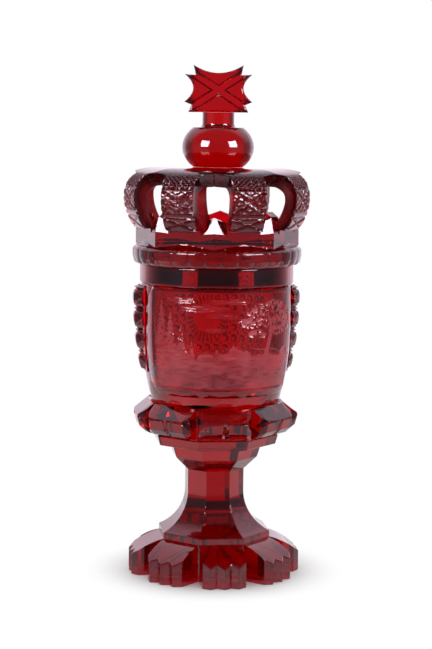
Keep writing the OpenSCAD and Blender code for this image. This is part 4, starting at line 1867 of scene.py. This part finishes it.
        # Painted shade: near-black marks on the cut walls, the strip beside the upper cuts and the
        # arm tips.
        marked = np.maximum(np.maximum(line, tip), strip * (rel[..., 1] > 0.0))
        fall, border, power = self.cross_fall
        cut = deep * np.clip((wide - off) / steep, 0.0, 1.0)
        cut = cut + fall * np.clip(1.0 - gap / border, 0.0, 1.0) ** power
        y = self.cross_t / 2 - cut
        front = np.stack([flat[..., 0], -y, flat[..., 1] + self.cross_z], axis=-1)
        back = np.stack([flat[..., 0], y, flat[..., 1] + self.cross_z], axis=-1)
        marks = np.concatenate([marked, marked[::-1]])
        body = loft(np.concatenate([back, front[::-1]]), matte_or_shade=marks)
        return turned(joined([body, self.cross_stub()]), self.turn)

    def cross_stub(self) -> Shell:
        """Round neck under the cross, with a hollow quarter circle out to the orb.

        Returns:
            The neck, melted to the orb.
        """
        seat = self.orb_z[1] + 0.05
        turn = np.linspace(0.0, math.pi / 2, 9)
        flare = np.stack([
            self.cross_neck + self.neck_flare * (1.0 - np.sin(turn)),
            seat + self.neck_flare * (1.0 - np.cos(turn)),
        ], axis=-1)
        profile = np.concatenate([
            [[self.cross_neck - 0.5, seat]], flare, [[self.cross_neck, self.cross_z - 0.03]],
        ])
        return loft(spun(profile, 2.0), fused_ends=(True, False))


@dataclass
class StrapCut:
    """Cuts on an arch's outer face: blocks of fine lines between ridges, small scallops above.

    Attributes:
        half: Half of the strap's width.
        blocks: Lower end, upper end and number of slanting lines of each block.
        pitch: Distance between a block's slanting lines.
        fine: Half width and depth of the fine cuts.
        broad: Half width and depth of the broad cuts under the diagonals.
        ridges: Places of the cuts beside the ridges.
        ridge: Half width and depth of those cuts.
        dashed: Places of the ridges with a dashed line.
        dash: Pitch and half length of the dashes, their way from the ridge, and depth.
        scallops: Lower and upper end of the scallops.
        scallop: Pitch, half width and depth of the scallops' cuts.
        scallop_fade: Way over which the scallops fade out.
    """

    half: float
    blocks: tuple[tuple[float, float, int], ...] = ((0.4, 9.2, 1), (12.8, 27.0, 5))
    pitch: float = 3.6
    fine: Pair = (0.55, 0.6)
    broad: Pair = (1.6, 0.55)
    ridges: tuple[float, ...] = (9.4, 12.6, 27.4)
    ridge: Pair = (0.7, 0.8)
    dashed: tuple[float, ...] = (12.8, 27.2)
    dash: tuple[float, float, float, float] = (2.2, 0.7, 0.9, 0.6)
    scallops: Pair = (28.0, 43.0)
    scallop: Triple = (3.2, 1.1, 0.8)
    scallop_fade: float = 7.0

    def depth(self, x: np.ndarray, s: np.ndarray) -> np.ndarray:
        """Depth of the cuts at places across and along the strap.

        A block has fine V cuts from corner to corner, with others beside them; the
        ridges between the blocks lie between V cuts, with a dashed line at one
        side; above, crossing cuts fade out towards the crown's smooth top.

        Args:
            x: Places across the strap.
            s: Places along its outer line.

        Returns:
            The depths.
        """
        x, s = np.broadcast_arrays(x, s)
        total = np.zeros(x.shape)
        broad = np.zeros(x.shape)
        for low, top, lines in self.blocks:
            mid, rise = (low + top) / 2, (top - low) / 2
            inside = (s >= low) & (s <= top)
            long = math.hypot(rise, self.half)
            for side in (-1.0, 1.0):
                off = ((s - mid) * self.half - side * x * rise) / long
                near = np.clip(np.round(off / self.pitch), -(lines // 2), lines // 2)
                fine = groove(off - near * self.pitch, *self.fine)
                total = np.maximum(total, fine * inside)
                broad = np.maximum(broad, groove(off, *self.broad) * inside)
            if lines > 1:
                star = groove(np.minimum(np.abs(x), np.abs(s - mid)), *self.fine)
                total = np.maximum(total, star * inside * (np.hypot(x, s - mid) < rise))
        for edge in self.ridges:
            total = np.maximum(total, groove(s - edge, *self.ridge))
        pitch, long, beside, deep = self.dash
        dash = (np.abs(x - pitch * np.round(x / pitch)) < long).astype(float)
        for edge in self.dashed:
            total = np.maximum(total, groove(s - edge - beside, self.fine[0], deep) * dash)
        low, top = self.scallops
        fade = ((s >= low) & (s <= top)) * smooth(top, top - self.scallop_fade, s)
        pitch, wide, deep = self.scallop
        for side in (-1.0, 1.0):
            along = (s - low) + side * x
            off = (along - pitch * np.round(along / pitch)) / math.sqrt(2.0)
            broad = np.maximum(broad, groove(off, wide, deep) * fade)
        return total + broad


@dataclass
class Studio:
    """Camera, soft boxes, white surroundings and floor, in metres.

    Attributes:
        away: Distance of the camera from the axis.
        azimuth: Its direction, from the front towards +X.
        height: Its height.
        tilt: Angle by which it looks down.
        roll: Its turn about its line of sight.
        lens: Focal length in mm.
        boxes: Name, direction and height of direction of the soft boxes, in degrees.
        box_size: Width and height of a soft box.
        box_far: Distance of a soft box.
        box_aim_z: Height at which a soft box looks.
        box_power: Power of a soft box in W.
        bounces: Most bounces in all, through glass, off glossy surfaces, and through
            transparent ones.
        table_rings: Radii of the table's rings.
        table_fade: Span over which the table turns to the backdrop's white.
        table_pale: Colour of the table.
        table_dim: Colour that the glass sees on the camera's side of it.
        table_dim_span: Span over which that colour comes in, towards the camera.
        levels: Brightness that reflections see, from the camera's side (-1) to the back (1).
        clear_levels: Brightness that is seen through the glass, likewise.
        level_unit: Largest brightness that the curves hold.
        ceiling: Brightness overhead, on the camera's side and behind.
        ceiling_span: Span from front to back over which that changes.
        overhead: Span of rise over which overhead begins.
        soft: Brightness for diffuse light.
        cool: Colour that reflections see.
    """

    away: float = 1.170
    azimuth: float = math.radians(-8.0)
    height: float = 0.302
    tilt: float = math.radians(6.8)
    roll: float = math.radians(0.67)
    lens: float = 100.26
    boxes: tuple[tuple[str, float, float], ...] = (
        ("box_left", -52.0, 19.5), ("box_right", 42.0, 19.0),
    )
    box_size: Pair = (0.50, 0.58)
    box_far: float = 1.1
    box_aim_z: float = 0.25
    box_power: float = 23.0
    bounces: tuple[int, int, int, int] = (28, 28, 16, 40)
    table_rings: tuple[float, ...] = (0.01, 0.05, 0.1, 0.2, 0.3, 0.4, 0.5)
    table_fade: Pair = (0.055, 0.088)
    table_pale: Colour = (0.93, 0.93, 0.93)
    table_dim: Colour = (0.28, 0.28, 0.30)
    table_dim_span: Pair = (0.12, 0.30)
    levels: tuple[Pair, ...] = (
        (-0.92, 0.17), (-0.7, 0.40), (0.0, 0.30), (0.3, 0.38), (0.6, 0.9), (0.8, 1.6),
        (0.94, 1.3), (0.99, 1.3),
    )
    clear_levels: tuple[Pair, ...] = (
        (-0.95, 1.1), (-0.6, 0.7), (0.0, 0.3), (0.6, 0.32), (0.78, 0.5), (0.88, 1.3),
        (0.99, 1.35),
    )
    level_unit: float = 1.7
    ceiling: Pair = (0.2, 1.2)
    ceiling_span: Pair = (0.0, 0.4)
    overhead: Pair = (0.08, 0.55)
    soft: float = 1.08
    cool: Colour = (1.0, 0.92, 1.03)

    def build(self) -> None:
        """Set the stage and the light."""
        scene = bpy.context.scene
        scene.view_settings.view_transform = "Standard"
        cycles = scene.cycles
        cycles.max_bounces, cycles.transmission_bounces = self.bounces[:2]
        cycles.glossy_bounces, cycles.transparent_max_bounces = self.bounces[2:]
        self.camera()
        for name, azimuth, rise in self.boxes:
            self.soft_box(name, math.radians(azimuth), math.radians(rise))
        self.floor()
        self.surroundings()

    def camera(self) -> None:
        """Camera at the photograph's place: in front, a little left, looking slightly down."""
        data = bpy.data.cameras.new("camera")
        data.lens = self.lens
        data.sensor_width = 36.0
        data.clip_start = 0.05
        data.clip_end = 30.0
        cam = bpy.data.objects.new("camera", data)
        x, y = self.away * math.sin(self.azimuth), -self.away * math.cos(self.azimuth)
        cam.location = (x, y, self.height)
        aim = Euler((math.pi / 2 - self.tilt, 0.0, self.azimuth)).to_matrix()
        cam.rotation_euler = (aim @ Matrix.Rotation(self.roll, 3, "Z")).to_euler()
        bpy.context.scene.collection.objects.link(cam)
        bpy.context.scene.camera = cam

    def soft_box(self, name: str, azimuth: float, rise: float) -> None:
        """Area lamp that looks at the goblet.

        Args:
            name: Name of the lamp.
            azimuth: Direction from the goblet, from the front towards +X.
            rise: Height of the direction.
        """
        data = bpy.data.lights.new(name, "AREA")
        data.shape = "RECTANGLE"
        data.size, data.size_y = self.box_size
        data.energy = self.box_power
        lamp = bpy.data.objects.new(name, data)
        lamp.visible_diffuse = False
        flat = self.box_far * math.cos(rise)
        z = self.box_aim_z + self.box_far * math.sin(rise)
        lamp.location = (flat * math.sin(azimuth), -flat * math.cos(azimuth), z)
        lamp.rotation_euler = (math.pi / 2 - rise, 0.0, azimuth)
        bpy.context.scene.collection.objects.link(lamp)

    def floor(self) -> None:
        """Round pale table that keeps the goblet's shadow: rings at growing radii, with quads."""
        phi = np.radians(np.arange(0.0, 360.0, 5.0))
        radius = np.array(self.table_rings)
        rings = around(radius[:, None], phi[None, :], np.zeros((1, 1)))
        number = np.arange(rings.shape[0] * len(phi)).reshape(-1, len(phi))
        low, top = number[:-1], number[1:]
        faces = np.stack([np.roll(low, -1, 1), low, top, np.roll(top, -1, 1)], axis=-1)
        mesh = bpy.data.meshes.new("table")
        all_faces = [*faces.reshape(-1, 4).tolist(), number[0].tolist()]
        mesh.from_pydata(rings.reshape(-1, 3).tolist(), [], all_faces)
        obj = bpy.data.objects.new("table", mesh)
        bpy.context.scene.collection.objects.link(obj)
        mesh.materials.append(self.table_white())

    def table_white(self) -> bpy.types.Material:
        """Pale table that fades to the white backdrop.

        The fade runs with the distance from the middle and is for the camera
        alone; the glass sees a dimmer table on the camera's side.

        Returns:
            The material.
        """
        mat = bpy.data.materials.new("table_white")
        mat.use_nodes = True
        mat.node_tree.nodes.clear()
        wire = Wiring(mat.node_tree)
        place = wire.add("TexCoord").outputs["Object"]
        path = wire.add("LightPath")
        far = wire.add("VectorMath", {0: place})
        far.operation = "LENGTH"
        fade = wire.ramp(far.outputs["Value"], self.table_fade, (0.0, 1.0))
        seen = wire.math("MULTIPLY", fade, path.outputs["Is Camera Ray"])
        by_glass = wire.math(
            "MAXIMUM", path.outputs["Is Glossy Ray"], path.outputs["Is Transmission Ray"],
        )
        way = (math.sin(self.azimuth), -math.cos(self.azimuth), 0.0)
        near = wire.ramp(wire.towards(place, way), self.table_dim_span, (0.0, 1.0))
        pale = wire.add("BsdfPrincipled", {"Base Color": self.table_pale, "Roughness": 0.7})
        dim = wire.add("BsdfDiffuse", {"Color": self.table_dim})
        white = wire.add("Emission", {"Color": (1.0, 1.0, 1.0), "Strength": 1.0})
        dark = wire.math("MULTIPLY", by_glass, near)
        table = wire.blend(dark, pale.outputs[0], dim.outputs[0])
        wire.add("OutputMaterial", {"Surface": wire.blend(seen, table, white.outputs[0])})
        return mat

    def surroundings(self) -> None:
        """White surroundings behind and beside, dim on the camera's side and overhead."""
        world = bpy.data.worlds.new("surroundings")
        bpy.context.scene.world = world
        world.use_nodes = True
        world.node_tree.nodes.clear()
        wire = Wiring(world.node_tree)
        path = wire.add("LightPath")
        place = wire.add("TexCoord").outputs["Generated"]
        way = (-math.sin(self.azimuth), math.cos(self.azimuth), 0.0)
        behind = wire.towards(place, way)
        half = wire.ramp(behind, (-1.0, 1.0), (0.0, 1.0), False)
        height = wire.add("SeparateXYZ", {0: place}).outputs["Z"]
        high = wire.ramp(height, self.overhead, (0.0, 1.0))
        over = wire.ramp(behind, self.ceiling_span, self.ceiling)
        mirrored = wire.mix(high, self._level(wire, half, self.levels), over)
        clear = wire.mix(high, self._level(wire, half, self.clear_levels), over)
        level = wire.mix(path.outputs["Is Transmission Ray"], mirrored, clear)
        level = wire.mix(path.outputs["Is Diffuse Ray"], level, self.soft)
        level = wire.mix(path.outputs["Is Camera Ray"], level, 1.0)
        colour = wire.tint(path.outputs["Is Glossy Ray"], (1.0, 1.0, 1.0), self.cool)
        shade = wire.add("Background", {"Color": colour, "Strength": level})
        wire.add("OutputWorld", {"Surface": shade.outputs[0]})

    def _level(
        self, wire: Wiring, half: Feed, levels: tuple[Pair, ...],
    ) -> bpy.types.NodeSocket:
        """Brightness at a place between front and back, along a curve through set levels.

        Args:
            wire: Wiring of the world.
            half: Share of the way from the camera's side (0) to the back (1).
            levels: Levels at places from -1 to 1.

        Returns:
            The brightness.
        """
        node = wire.add("FloatCurve", {"Value": half})
        curve = node.mapping.curves[0]
        curve.points[0].location = (0.0, levels[0][1] / self.level_unit)
        curve.points[1].location = (1.0, levels[-1][1] / self.level_unit)
        for at, height in levels:
            curve.points.new(0.5 + 0.5 * at, height / self.level_unit)
        node.mapping.update()
        return wire.math("MULTIPLY", node.outputs["Value"], self.level_unit)


def main() -> None:
    """Build the goblet, its cover and the studio."""
    logging.basicConfig(level=logging.INFO, format="%(name)s: %(message)s")
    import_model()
    shop = Workshop()
    Stand().build(shop)
    Bowl().build(shop)
    Cover().build(shop)
    Studio().build()


if __name__ == "__main__":
    main()
